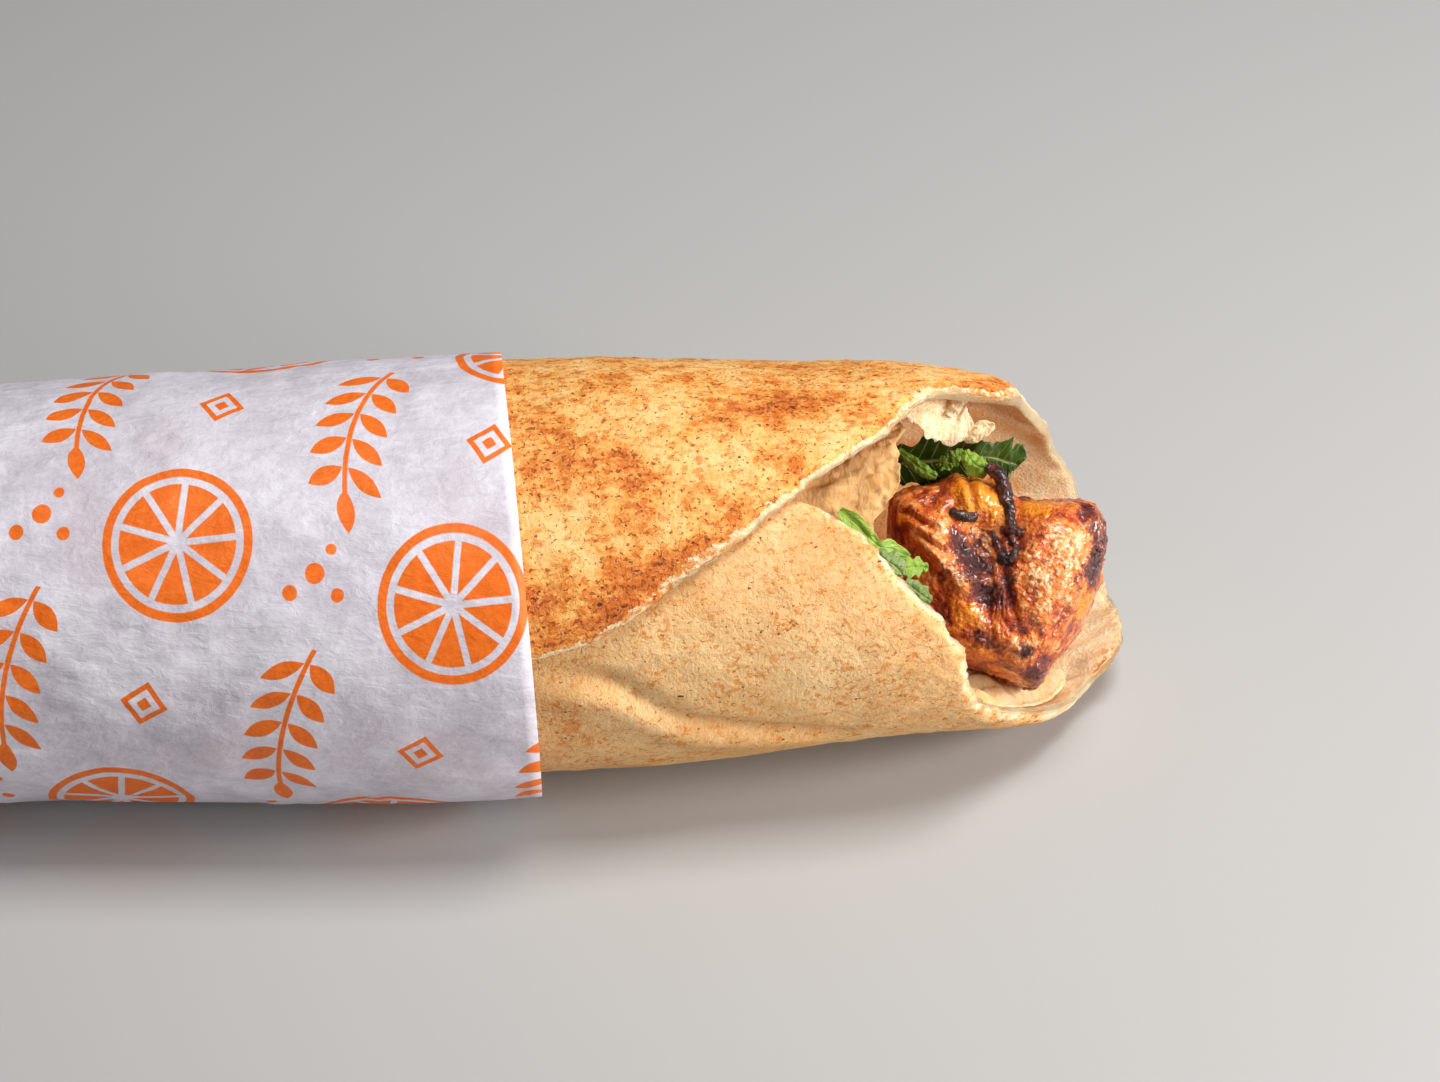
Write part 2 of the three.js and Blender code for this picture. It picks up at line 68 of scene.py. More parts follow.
camera = bpy.data.objects.new("camera", bpy.data.cameras.new("camera"))
camera.data.lens = 100
camera.data.sensor_width = 36
camera.data.clip_start = 0.01
camera.location = TARGET + BACK * DISTANCE
camera.rotation_euler = Matrix((RIGHT, UP, BACK)).transposed().to_euler()
bpy.context.scene.collection.objects.link(camera)
bpy.context.scene.camera = camera
bpy.context.scene.view_settings.view_transform = "Standard"
print("camera at", [round(c, 3) for c in camera.location])

# %% [markdown]
# ## Sums on sockets
#
# A finish is a formula of what changes over the surface: where the bread is toasted, where the paper
# is printed. Written as nodes by hand such a formula is long, so one small class wraps a socket and
# lets Python's own operators add the Math nodes. Colours go through Mix nodes, which keep them
# coloured, and any other node comes from `node`.

# %% Sums on sockets


def rgb(code):
    """A colour written as on screen, such as "f2c078", in the linear values that shaders use."""
    parts = [int(code[i : i + 2], 16) / 255 for i in (0, 2, 4)]
    return (*[p / 12.92 if p <= 0.04045 else ((p + 0.055) / 1.055) ** 2.4 for p in parts], 1.0)


class Shade:
    """One output socket of a finish. Sums with it add Math nodes beside it."""

    def __init__(self, tree, socket):
        self.tree = tree
        self.socket = socket

    def node(self, kind, settings=None, inputs=None, output=0):
        """A node of this kind: its settings first, then the links, values or colours of its sockets."""
        made = self.tree.nodes.new("ShaderNode" + kind)
        for name, value in (settings or {}).items():
            setattr(made, name, value)
        for key, value in (inputs or {}).items():
            if isinstance(value, Shade):
                self.tree.links.new(value.socket, made.inputs[key])
            else:
                made.inputs[key].default_value = rgb(value) if isinstance(value, str) else value
        return Shade(self.tree, made.outputs[output])

    def math(self, operation, *values):
        return self.node("Math", {"operation": operation}, dict(enumerate(values)))

    def __abs__(self):
        return self.math("ABSOLUTE", self)

    def between(self, low, high, start=0.0, end=1.0):
        """Smoothly from start, below low, to end, above high."""
        span = {"Value": self, "From Min": low, "From Max": high, "To Min": start, "To Max": end}
        return self.node("MapRange", {"interpolation_type": "SMOOTHSTEP"}, span)

    def part(self, axis):
        """The X, Y or Z number of a vector."""
        return self.node("SeparateXYZ", None, {0: self}, axis)

    def scaled(self, x=1.0, y=1.0, z=1.0, shift=(0, 0, 0)):
        """A vector stretched along its axes and then moved."""
        return self.node("VectorMath", {"operation": "MULTIPLY_ADD"}, {0: self, 1: (x, y, z), 2: shift})

    def noise(self, size, detail=3.0, rough=0.5, bend=0.0, output=0):
        """Soft lumps about this size, in the units of the vector, from 0 to 1."""
        form = {"Vector": self, "Scale": 1 / size, "Detail": detail, "Roughness": rough, "Distortion": bend}
        return self.node("TexNoise", None, form, output)

    def cells(self, size, output=0):
        """The distance to the nearest of scattered points, in cells of about this size."""
        return self.node("TexVoronoi", None, {"Vector": self, "Scale": 1 / size}, output)

    def mixed(self, first, second):
        """The first colour where this mask is 0, the second where it is 1."""
        return self.node("Mix", {"data_type": "RGBA"}, {0: self, 6: first, 7: second}, 2)

    def ramp(self, *stops):
        """The colour for this value, between stops of a value and its colour."""
        found = self.node("ValToRGB", None, {0: self})
        elements = found.socket.node.color_ramp.elements
        while len(elements) < len(stops):
            elements.new(0.5)
        for element, (place, colour) in zip(elements, stops):
            element.position = place
            element.color = rgb(colour)
        return found


def operator(operation, reflected):
    """The method behind one of Python's operators, or behind its reflected form."""

    def method(self, other):
        values = (other, self) if reflected else (self, other)
        return self.math(operation, *values)

    return method


OPERATORS = {"add": "ADD", "sub": "SUBTRACT", "mul": "MULTIPLY", "truediv": "DIVIDE", "pow": "POWER"}
for name, operation in OPERATORS.items():
    setattr(Shade, f"__{name}__", operator(operation, False))
    setattr(Shade, f"__r{name}__", operator(operation, True))


class Finish(Shade):
    """A new material. Its attributes come in as sockets, and `set` fills its shader."""

    def __init__(self, name, **uniform):
        self.material = bpy.data.materials.new(name)
        self.material.use_nodes = True
        self.shader = self.material.node_tree.nodes["Principled BSDF"]
        super().__init__(self.material.node_tree, None)
        for key, value in uniform.items():
            self.shader.inputs[key.replace("_", " ")].default_value = value

    def place(self, name):
        return self.node("Attribute", {"attribute_name": name}, None, 1)

    def masks(self, *names):
        return [self.node("Attribute", {"attribute_name": name}, None, 2) for name in names]

    def set(self, colour, rough, height, depth, **more):
        """Link the sums to the shader. The height, in millimetres times `depth`, becomes a bump."""
        bump = self.node("Bump", None, {"Height": height, "Distance": depth * MM, "Strength": 1.0})
        for key, value in {"Base_Color": colour, "Roughness": rough, "Normal": bump, **more}.items():
            self.tree.links.new(value.socket, self.shader.inputs[key.replace("_", " ")])
        print(self.material.name, "nodes:", len(self.tree.nodes))
        return self.material


print("operators on sockets:", list(OPERATORS))

# %% [markdown]
# ## Floor and light
#
# A plain pale floor and soft light from panels show form and colour without telling a story. The
# key is overhead and a little to the right, so the flap is bright and the roll turns dark below.
# Two lamps from the mouth's end light the meat and give its glaze small highlights. The floor isn't
# part of the object.

# %% Floor and light
floor_finish = Finish("floor", Base_Color=rgb("b8b8b8"), Roughness=0.9, Specular_IOR_Level=0.2)
bpy.ops.mesh.primitive_plane_add(size=6, location=(0, 0, -0.0002))
floor = bpy.context.object
floor.name = "floor"
floor.data.materials.append(floor_finish.material)

world = bpy.data.worlds.new("studio")
world.use_nodes = True
surroundings = world.node_tree.nodes["Background"].inputs
surroundings["Color"].default_value = (0.9, 0.93, 1.0, 1)
surroundings["Strength"].default_value = 0.07
bpy.context.scene.world = world

LIT_PLACE = Vector((0.05, 0, 0.02))
LIGHTS = {
    # name: place, size, power, colour
    "key": ((0.2, 0.0, 0.62), 0.26, 2.95, (1.0, 0.98, 0.95)),
    "mouth": ((0.46, -0.3, 0.21), 0.14, 1.3, (1.0, 0.96, 0.9)),
    "right": ((0.72, -0.15, 0.3), 0.18, 3.8, (1.0, 0.97, 0.93)),
    "front": ((-0.12, -0.42, 0.56), 0.3, 0.1, (0.97, 0.98, 1.0)),
}
for name, (place, size, power, colour) in LIGHTS.items():
    lamp = bpy.data.objects.new(name, bpy.data.lights.new(name, "AREA"))
    lamp.data.size = size
    lamp.data.energy = power
    lamp.data.color = colour
    lamp.location = place
    lamp.rotation_euler = (LIT_PLACE - lamp.location).to_track_quat("-Z", "Y").to_euler()
    bpy.context.scene.collection.objects.link(lamp)
print("lamps:", list(LIGHTS))

# %% [markdown]
# ## The shape of the roll
#
# All the bread layers and the paper follow one oval tube that is flat below. Its tables and formulas
# are those of the rigid model, worked on whole arrays of points at once. `angle` runs from the top
# (0) over to the viewer's side (90), `lift` is how far out a layer lies.

# %% The shape of the roll
ROLL = [  # X, radius, height of the flat underside, shift of the axis to the back
    [-108, 23.6, 1.6, 1.6], [-46, 25.4, 1.6, 1.7], [10, 27.0, 1.5, 1.0], [36, 26.5, 2.5, 1.1],
    [60, 25.2, 3.5, 1.9], [76, 24.4, 3.9, 2.9], [88, 23.2, 3.5, 3.8], [98, 20.9, 3.5, 4.8],
    [108, 19.6, 6.0, 5.8],
]
RIM = [  # roll angle, X of the bread's rim
    [-366, 8], [-355, 34], [-345, 46.5], [-338, 53.5], [-331, 60.9], [-323.4, 66.5],
    [-316.6, 69.5], [-303.3, 74.3], [-294.5, 77.4], [-285, 80.5], [-273.3, 82.6], [-258.8, 83.8],
    [-247.9, 85.7], [-236, 90.6], [-224, 95.6], [-215.6, 97.6], [-205.4, 100.7], [-195.8, 103.2],
    [-189.5, 105.8], [-181.6, 107.8], [-174, 108], [-164.4, 107.8], [-152.9, 107.1],
    [-136, 105.5], [-111.4, 103.4], [-91, 101.6], [-79, 99.6], [-64, 97.5], [-50, 95],
    [-38, 93.4], [-24, 92], [-16, 90.5], [-13, 88], [-11.5, 83], [-6, 78.8], [4, 75.1],
    [14.7, 70.5], [25.4, 63.5], [33.8, 58.1], [45.7, 51.3], [55.7, 43.8], [67.4, 36],
    [73, 26], [79, 12], [84, -4], [86, -12],
]
CREASE = [[26.3, -280.5], [36, -275.9], [43.6, -261.7], [49.3, -255.3], [55, -250.6], [68.7, -240.9]]
WIDTH_SHARE, HEIGHT_SHARE, AXIS_SHARE = 1.07, 0.955, 0.898
BREAD_T = 2.2
PITCH = BREAD_T + 0.4
FIRST_ANGLE, LAST_ANGLE = RIM[-1][0], RIM[0][0]
BREAD_REAR_X = -74
BREAD_ROUND, PLY_ROUND, PAPER_ROUND = 25, 22, 27.5  # radii that lengths round the roll are taken at


def curve(table, column=1):
    """A smooth curve through a table's rows, which rise in their first column."""
    x = np.array([row[0] for row in table], float)
    y = np.array([row[column] for row in table], float)
    rows = np.arange(len(x))
    before, after = np.maximum(rows - 1, 0), np.minimum(rows + 1, len(x) - 1)
    slope = (y[after] - y[before]) / (x[after] - x[before])

    def at(value):
        value = np.clip(value, x[0], x[-1])
        i = np.clip(np.searchsorted(x, value) - 1, 0, len(x) - 2)
        h = x[i + 1] - x[i]
        t = (value - x[i]) / h
        return (
            (2 * t**3 - 3 * t**2 + 1) * y[i]
            + (t**3 - 2 * t**2 + t) * h * slope[i]
            + (3 * t**2 - 2 * t**3) * y[i + 1]
            + (t**3 - t**2) * h * slope[i + 1]
        )

    return at


def smooth(x, low, high):
    """From 0 at low to 1 at high, level at both ends."""
    t = np.clip((x - low) / (high - low), 0, 1)
    return t * t * (3 - 2 * t)


def lerp(a, b, t):
    return a + (b - a) * t


def window(x, start, full, falling, end):
    """1 between full and falling, and smoothly down to 0 at start and end."""
    return smooth(x, start, full) * (1 - smooth(x, falling, end))


def hump(x, centre, width):
    return np.exp(-(((x - centre) / width) ** 2))


def round_mm(angle, radius):
    """The length round the roll up to this angle, in millimetres."""
    return -angle * DEG * radius


roll_radius, table_gap, axis_y = curve(ROLL, 1), curve(ROLL, 2), curve(ROLL, 3)
crease_angle, rim_x = curve(CREASE), curve(RIM)


def axis_z(x):
    return table_gap(x) + AXIS_SHARE * roll_radius(x)


def swell(x, angle):
    """The waves of the bare bread and the soft fold across its lower flap."""
    wave = 0.22 * np.sin(2 * angle * DEG + x / 13) + 0.16 * np.sin(3 * angle * DEG - x / 8)
    turn = 80 - np.mod(80 - angle, 360)
    below = (np.where(turn > 0, turn - 360, turn) - crease_angle(x)) * DEG * roll_radius(x)
    fold = 0.75 * hump(below, 3.2, 2.6) - 1.35 * hump(below, -0.4, 1.5)
    return wave * smooth(x, 24, 44) + fold * smooth(x, 22, 34) * (1 - smooth(x, 56, 72))


def oval_point(x, angle, lift):
    """A point of the plain oval tube."""
    radius = roll_radius(x)
    y = axis_y(x) - (WIDTH_SHARE * radius + lift) * np.sin(angle * DEG)
    z = axis_z(x) + (HEIGHT_SHARE * radius + lift) * np.cos(angle * DEG)
    return np.stack(np.broadcast_arrays(x, y, z), -1)


def roll_point(x, angle, lift):
    """A point of the bread's tube, with its waves and its flat underside."""
    point = oval_point(x, angle, lift + swell(x, angle))
    floor_z = table_gap(x) - lift
    point[..., 2] = (point[..., 2] + floor_z + np.hypot(point[..., 2] - floor_z, 1)) / 2
    return point


def spiral_lift(angle):
    """How far out the bread's outer face lies, as it winds inwards."""
    return PITCH * (1 + (angle - 88) / 360)


print("mouth's lowest point, mm:", roll_point(np.array(108.0), np.array(-180.0), 0.0).round(1))

# %% [markdown]
# ## Lumps and grids
#
# Food has no plain surfaces. `lumps` is smooth noise worked out for arrays of points, the same on
# every run. A thin piece is one grid that runs over its outer face, round its edge and back over its
# inner face, so the edge can be as round or as ragged as the real one. Masks go along with the points
# for the finish to read, such as where the crumb shows.

# %% Lumps and grids


def lattice(i, j, k, seed):
    """A number from -1 to 1 for each cell of space, mixed up from the cell's own numbers."""
    h = (i * 73856093) ^ (j * 19349663) ^ (k * 83492791) ^ (seed * 40503)
    h = ((h ^ (h >> 13)) * 1274126177) & 0xFFFFFFFF
    h = ((h ^ (h >> 15)) * 668265263) & 0xFFFFFFFF
    return ((h >> 8) & 0xFFFF) / 32767.5 - 1


def lumps(points, size, octaves=3, seed=0, gain=0.5):
    """Smooth noise from -1 to 1 with lumps of about this size, in millimetres."""
    p = np.asarray(points, float) / size
    total, weight, share = 0.0, 0.0, 1.0
    for octave in range(octaves):
        cell = np.floor(p).astype(np.int64)
        f = p - cell
        f = f**3 * (f * (f * 6 - 15) + 10)
        value = 0.0
        for corner in np.ndindex(2, 2, 2):
            near = [f[..., n] if step else 1 - f[..., n] for n, step in enumerate(corner)]
            there = lattice(*np.moveaxis(cell + corner, -1, 0), seed + octave)
            value = value + near[0] * near[1] * near[2] * there
        total = total + share * value
        weight += share
        share *= gain
        p = p * 2.03 + 17.1
    return 1.6 * total / weight


def flat_of(*parts):
    """Two or three arrays as points, such as flat coordinates for noise that follows the sheet."""
    while len(parts) < 3:
        parts = (*parts, 0.0)
    return np.stack(np.broadcast_arrays(*parts), -1).astype(float)


def spots(table, x, y, scale=1.0):
    """A sum of soft spots: x, y, reach along both, a turn in degrees if it has one, strength."""
    total = 0.0
    for at_x, at_y, wide, high, *turn, strength in table:  # turn is empty or has one number
        c, s = math.cos(sum(turn) * DEG), math.sin(sum(turn) * DEG)
        right, up = x - at_x, (y - at_y) * scale
        a, b = (right * c + up * s) / wide, (up * c - right * s) / high
        total = total + strength * np.exp(-(a**2) - b**2)
    return total


def sheet_faces(columns, rows):
    """Faces of a thin piece: a grid whose rows go over one face, round the edge and back."""
    at = np.arange(columns * rows).reshape(columns, rows)
    wrap = np.roll(at, -1, axis=1)
    faces = np.stack([at[:-1], at[1:], wrap[1:], wrap[:-1]], -1).reshape(-1, 4)
    k = np.arange(rows // 2 - 1)
    ends = []
    for line, turn in ((at[0], 1), (at[-1], -1)):
        ends.append(np.stack([line[k], line[k + 1], line[rows - 2 - k], line[rows - 1 - k]], -1)[:, ::turn])
    return np.concatenate([faces, *ends]).tolist()


def skin_faces(columns, rows):
    """Faces of a closed skin: rings of points, then its two end points."""
    at = np.arange(rows * columns).reshape(rows, columns)
    side = np.roll(at, -1, axis=1)
    faces = np.stack([at[:-1], side[:-1], side[1:], at[1:]], -1).reshape(-1, 4).tolist()
    first, last = rows * columns, rows * columns + 1
    faces += [[first, int(side[0, i]), int(at[0, i])] for i in range(columns)]
    faces += [[last, int(at[-1, i]), int(side[-1, i])] for i in range(columns)]
    return faces


def facing_out(points, faces):
    """The same faces, turned round if they look into the solid."""
    corners = [f[:3] for f in faces] + [[f[0], f[2], f[3]] for f in faces if len(f) == 4]
    a, b, c = np.moveaxis(points.reshape(-1, 3)[np.array(corners)], 1, 0)
    inside_out = np.einsum("ij,ij->i", a, np.cross(b, c)).sum() < 0
    return [f[::-1] for f in faces] if inside_out else faces


def both_faces(outer, inner=None):
    """The rows of a thin piece: over its outer face and back over its inner face."""
    inner = outer if inner is None else inner
    return np.concatenate([outer, inner[:, ::-1]], 1)


def mesh_piece(name, points, material, nodes, slot, parent=None, faces=None, **masks):
    """An object from points in millimetres, that stands for the named solids.

    Without faces, the points are the grid of a thin piece. A mask is one number for the whole piece,
    a number for each point, or a place for each point.
    """
    faces = facing_out(points, faces or sheet_faces(*points.shape[:2]))
    mesh = bpy.data.meshes.new(name)
    mesh.from_pydata((points.reshape(-1, 3) * MM).tolist(), [], faces)
    for key, value in masks.items():
        is_place = np.shape(value) == points.shape
        if not is_place:
            value = np.broadcast_to(value, points.shape[:-1])
        attribute = mesh.attributes.new(key, "FLOAT_VECTOR" if is_place else "FLOAT", "POINT")
        attribute.data.foreach_set("vector" if is_place else "value", np.ravel(value).astype(np.float32))
    mesh.polygons.foreach_set("use_smooth", [True] * len(mesh.polygons))
    mesh.materials.append(material)
    mesh.update()
    made = bpy.data.objects.new(name, mesh)
    bpy.context.scene.collection.objects.link(made)
    if parent is not None:
        made.matrix_world = parent
    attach(made, "root")
    if nodes:
        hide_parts(*nodes)
    print(name, "faces:", len(faces))


print("noise spread:", lumps(np.random.default_rng(1).uniform(0, 90, (4000, 3)), 3).std().round(2))

# %% [markdown]
# ## The finish of baked flatbread
#
# Flatbread is baked in seconds on a very hot floor. The skin stays cream where it barely touched and
# goes gold, tan and brown in clouds of small freckles where it did, with a few burnt pinpricks. The
# finish is a toast level, from the piece's own mask and from noise, that runs through a ramp of those
# colours. The noise lies in the flat, unrolled bread, because it was baked flat. A torn or worn rim
# shows the pale crumb under the skin. The lower flap is a plainer tan, with fewer freckles.

# %% The finish of baked flatbread


def bread_finish():
    finish = Finish("baked flatbread", Specular_IOR_Level=0.3, Subsurface_Weight=0.3,
                    Subsurface_Radius=(1.0, 0.72, 0.45), Subsurface_Scale=0.003)
    flat = finish.place("flat")
    toast, crumb, inside, soaked, lower = finish.masks("toast", "crumb", "inside", "soaked", "lower")

    clouds = flat.noise(7.0, 3.0, 0.6)
    mottle = flat.scaled(0.75).noise(2.0, 5.0, 0.7, 0.5)
    streaks = flat.scaled(0.3, shift=(31, 7, 0)).noise(1.1, 4.0, 0.6)
    grain = flat.noise(0.42, 3.0, 0.6)
    level = toast + (clouds - 0.5) * 1.1 + (mottle - 0.5) * 1.2 + (streaks - 0.5) * 0.5
    baked = level.ramp((0.0, "fbce8a"), (0.3, "f7ba69"), (0.48, "ec9c42"), (0.66, "da792a"),
                       (0.84, "c26522"), (1.0, "8c4516"))
    broad = flat.scaled(shift=(7, 23, 0)).noise(17.0, 2.0, 0.5)
    tan = (mottle * 0.45 + grain * 0.3 + broad * 0.6).between(0.48, 0.9).mixed("f8cf97", "dea15b")
    skin = lower.mixed(baked, tan)
    skin = (grain.between(0.4, 0.75) * 0.3).mixed(skin, "fbd9a8")

    # crisp tan blots, dots on the lower flap, then brown freckles, then a few burnt pinpricks
    ready = (level - 0.3).between(0.0, 0.55)
    blot = flat.scaled(0.7, shift=(3, 5, 0)).noise(1.25, 4.0, 0.72, 0.5)
    blotted = (blot + ready * 0.09 - lower * 0.03).between(0.53, 0.58) * (0.6 + 0.25 * ready)
    skin = blotted.mixed(skin, lower.mixed("cf6d1c", "dd8a38"))
    dots = flat.scaled(0.85, shift=(17, 1, 0)).noise(0.8, 2.0, 0.5, 0.4)
    skin = (lower * (dots + (clouds - 0.5) * 0.35).between(0.61, 0.67) * 0.7).mixed(skin, "d8842f")
    dash = flat.scaled(0.78, shift=(13, 2, 0)).noise(0.5, 2.0, 0.5, 0.4)
    freckle = (dash + ready * 0.1 - lower * 0.035).between(0.62, 0.68)
    skin = (freckle * 0.85).mixed(skin, lower.mixed("9c4a12", "b9641c"))
    spot = flat.scaled(0.7, shift=(5, 8, 0)).noise(0.8, 1.0, 0.5, 0.3)
    burnt = (spot + ready * 0.09).between(0.735, 0.785)
    skin = (burnt * 0.9).mixed(skin, "4a210d")

    bare = (crumb + (grain - 0.5) * 0.9 + (mottle - 0.5) * 0.7).between(0.42, 0.62)
    pale = (mottle * 0.5 + grain * 0.5).between(0.3, 0.7).mixed("f0c690", "ffebc8")
    pale = (toast.between(0.42, 0.7) * blot.between(0.44, 0.56)).mixed(pale, "dc8c3c")
    within = (clouds * 0.6 + mottle * 0.6).between(0.42, 0.8).mixed("ffe3b6", "ffc482")
    within = (soaked * (mottle.between(0.3, 0.6) * 0.4 + 0.5)).mixed(within, "efb06a")
    colour = bare.mixed(inside.mixed(skin, within), pale)

    crinkle = flat.scaled(shift=(2, 9, 0)).noise(1.3, 4.0, 0.62, 0.8)
    height = crinkle * 0.65 + grain * 0.24 + mottle * 0.5 - freckle * 0.16 + crumb * grain * 0.5
    return finish.set(colour, 0.78 - level * 0.14, height, 0.46)


BREAD = bread_finish()

# %% [markdown]
# ## The flatbread
#
# One round bread is rolled up in a spiral, so its round rim makes the slanting edge of the upper
# flap, the lip and far wall of the mouth, and the edge of the lower flap in one line. The grid has a
# column for each point along that rim. Each column starts at the hidden end, runs over the outer
# face to the rim, turns round it in a few close rows, and comes back on the inner face. The rim is
# bevelled and frayed, and thick and soft on the far wall.

# %% The flatbread
TOAST_ROUND = 26
TOAST = [  # toasted places (positive) and pale ones: X, roll angle, reach along X, reach round, strength
    (30, 17, 6, 5, 0.2), (40, 26, 6, 4, 0.24), (42, 54, 7, 3, 0.14), (34.5, 66, 7, 4, 0.13),
    (30.7, 60, 6, 5, 0.08), (53.5, 7, 9, 4, 0.24), (61.7, -1.4, 8, 4, 0.22), (47, 50, 5, 2.5, 0.18),
    (80, -22, 9, 5, -0.12), (42, 6, 6, 4, -0.24), (46, 20, 7, 5, -0.22), (31, 38, 5, 4, -0.24),
    (62, 14, 8, 4, -0.26), (54, 30, 6, 4, -0.1), (44, -240, 10, 4, 0.24), (58.8, -292, 2.4, 2, 0.3),
    (30, -262, 7, 5, 0.16), (70, -230, 12, 5, 0.06), (20, -60, 14, 10, 0.2), (70, -100, 16, 9, 0.18),
    (50, -150, 14, 9, -0.1), (92, -40, 2, 4, 0.2), (97, -70, 2, 4, 0.22), (104, -105, 2, 4, 0.2),
    (107, -160, 2, 5, 0.22), (106, -192, 3, 7, 0.34), (97, -212, 2, 4, 0.3), (90, -14, 5, 4, 0.2),
    (86, -262, 4, 3, 0.12), (93, -228, 2.4, 3, 0.4), (88.5, -240, 2, 2.5, 0.36), (85, -250, 1.6, 2, 0.4),
    (104, -197, 2, 3, 0.25),
]
RIM_PROFILE = np.array([  # back from the rim, depth below the outer face, crumb
    [-2.5, 0.0, 0.0], [-1.7, 0.06, 0.2], [-1.2, 0.2, 0.5], [-0.8, 0.4, 0.85], [-0.45, 0.68, 1.0],
    [-0.2, 0.98, 1.0], [0.0, 1.35, 1.0], [-0.1, 1.7, 1.0], [-0.35, 1.98, 1.0], [-0.8, 2.14, 0.85],
    [-1.4, 2.2, 0.5], [-2.1, 2.2, 0.2],
])


def rim_angles(count):
    """Roll angles in even steps along the rim, and the length along it up to each."""
    fine = np.arange(FIRST_ANGLE, LAST_ANGLE - 0.25, -0.5)
    step = np.hypot(0.5 * DEG * BREAD_ROUND, 0.7 * np.diff(rim_x(fine)))
    length = np.concatenate([[0], np.cumsum(step)])
    even = np.linspace(0, length[-1], count)
    return np.interp(even, length, fine), even


def bread_sheet(columns=600):
    angles, lengths = rim_angles(columns)
    angle, along_rim = angles[:, None], lengths[:, None]
    rim = rim_x(angle)
    slope = np.gradient(rim_x(angles), angles * DEG * BREAD_ROUND)[:, None]
    square = 1 / np.hypot(1, slope)  # turns a distance along X into one square to the rim
    rear = BREAD_REAR_X + 50 * (smooth(angle, 40, FIRST_ANGLE) + smooth(-angle, 310, -LAST_ANGLE))
    split = np.minimum(18, rim - 8)

    # X, depth and crumb of every row: the outer face, the rim, and back over the inner face
    share = np.concatenate([np.linspace(0, 0.999, 7), 2 - (1 - np.linspace(0, 1, 42)) ** 1.5])
    back, edge_depth, edge_crumb = RIM_PROFILE.T
    upper = window(angle, -60, -20, 30, 56)
    edge_crumb = edge_crumb * (1 - 0.6 * upper * (back < -0.7) * (edge_depth < 1))
    edge_crumb = edge_crumb * (1 - 0.42 * smooth(-angle, 205, 228)) * (1 - 0.25 * smooth(angle, -24, -8))
    back = back * lerp(1.0, 0.8, smooth(-angle, 190, 215)) * lerp(1.0, 1.35, smooth(angle, 24, 50))
    back = back / np.maximum(square, 0.5)
    body_end = rim + back[:, :1] - 0.7
    body_x = np.where(share < 1, lerp(rear, split, share), lerp(split, body_end, share - 1))
    inner_x = body_x[:, ::-1] + 0.5 * smooth(body_x[:, ::-1], 18, 40)
    zero = np.zeros_like(body_x)
    x = np.concatenate([body_x, rim + back, inner_x], 1)
    depth = np.concatenate([zero, edge_depth + 0 * back, zero + BREAD_T], 1)
    crumb = np.concatenate([zero, edge_crumb, zero], 1)
    side = smooth(depth, 1.2, 2.1)
    around = round_mm(angle, BREAD_ROUND)
    flat = flat_of(x, around, 40 * side)
    edge_gap = (rim - x) * square

    # the frayed rim, the waves of the skin and the folds inside
    soft_rim = window(-angle, 14, 30, 200, 225)
    ragged = 0.5 * lumps(flat_of(along_rim, depth * 0.4), 3.2, 3, 5)
    ragged = ragged + 0.3 * (1 - 0.8 * soft_rim) * lumps(flat_of(along_rim, depth), 0.9, 2, 6)
    near_rim = hump(np.maximum(edge_gap, 0), 0, 1.4)
    x = x + (ragged - 0.35) * near_rim
    bare = smooth(x, 20, 28)
    far_wall = window(-angle, 8, 24, 84, 110)
    lip = window(-angle, 120, 150, 195, 210)
    waves = 0.14 * lumps(flat, 3.4, 3, 1) + 0.07 * lumps(flat, 1.1, 2, 2)
    folds = 1.1 * lumps(flat_of(x * 0.35, around, 3), 4.2, 2, 3) * smooth(edge_gap, 0.5, 4) * far_wall
    folds = folds + 0.7 * lumps(flat_of(x * 0.6, around, 8), 3.4, 2, 4) * lip
    thick = 0.8 * far_wall * hump(edge_gap, 0, 3.0)
    depth = depth + side * (folds + thick) - (1 - side) * (waves * bare)
    depth = depth + 0.22 * lumps(flat_of(along_rim, x, depth), 1.0, 2, 7) * crumb * bare
    depth = np.where(side > 0, np.maximum(depth, 0.6), depth)

    lower = smooth(-angle, 190, 216)
    toast = 0.36 - 0.06 * lower + spots(TOAST, x, angle, DEG * TOAST_ROUND)
    toast = toast + 0.22 * smooth(angle, -50, -20) * near_rim * (1 - 0.5 * side)
    toast = toast + 0.2 * smooth(angle, -20, 10) * (1 - smooth(x, 52, 74)) * hump(edge_gap, 3.6, 2.0)
    wall = far_wall + window(-angle, 84, 110, 190, 204)
    crumb = np.maximum(crumb, side * wall * (1 - smooth(edge_gap, 4, 12)) * 0.95)
    soaked = side * smooth(-angle, 70, 110) * (1 - smooth(-angle, 230, 260)) * smooth(edge_gap, 9, 20)
    wobble = lumps(flat_of(along_rim, x), 2.6, 3, 9)
    crumb = np.clip(crumb + 0.3 * wobble * (crumb > 0) * (crumb < 1), 0, 1)
    points = roll_point(x, angle, spiral_lift(angle) - depth)
    mesh_piece("flatbread_rolled", points, BREAD, ["flatbread"], "bread", flat=flat, toast=toast,
               crumb=crumb, inside=side, soaked=soaked, lower=lower)


bread_sheet()

# %% [markdown]
# ## The finish of printed paper
#
# Sleeve paper is thin, greaseproof and cheaply printed in one ink. The white is a little lilac, with
# faint clouds where it is thicker or has met the food. The print is drawn with formulas in flat paper
# coordinates, in millimetres: a tile repeats, and each motif in it is a few distances compared with
# a width. A round fruit slice, a leafy sprig, dots and small diamonds say "food" and nothing else.

# %% The finish of printed paper


def inside_of(distance, limit, edge=0.09):
    """A mask that is 1 where a distance is under a limit."""
    return distance.between(limit - edge, limit + edge, 1.0, 0.0)


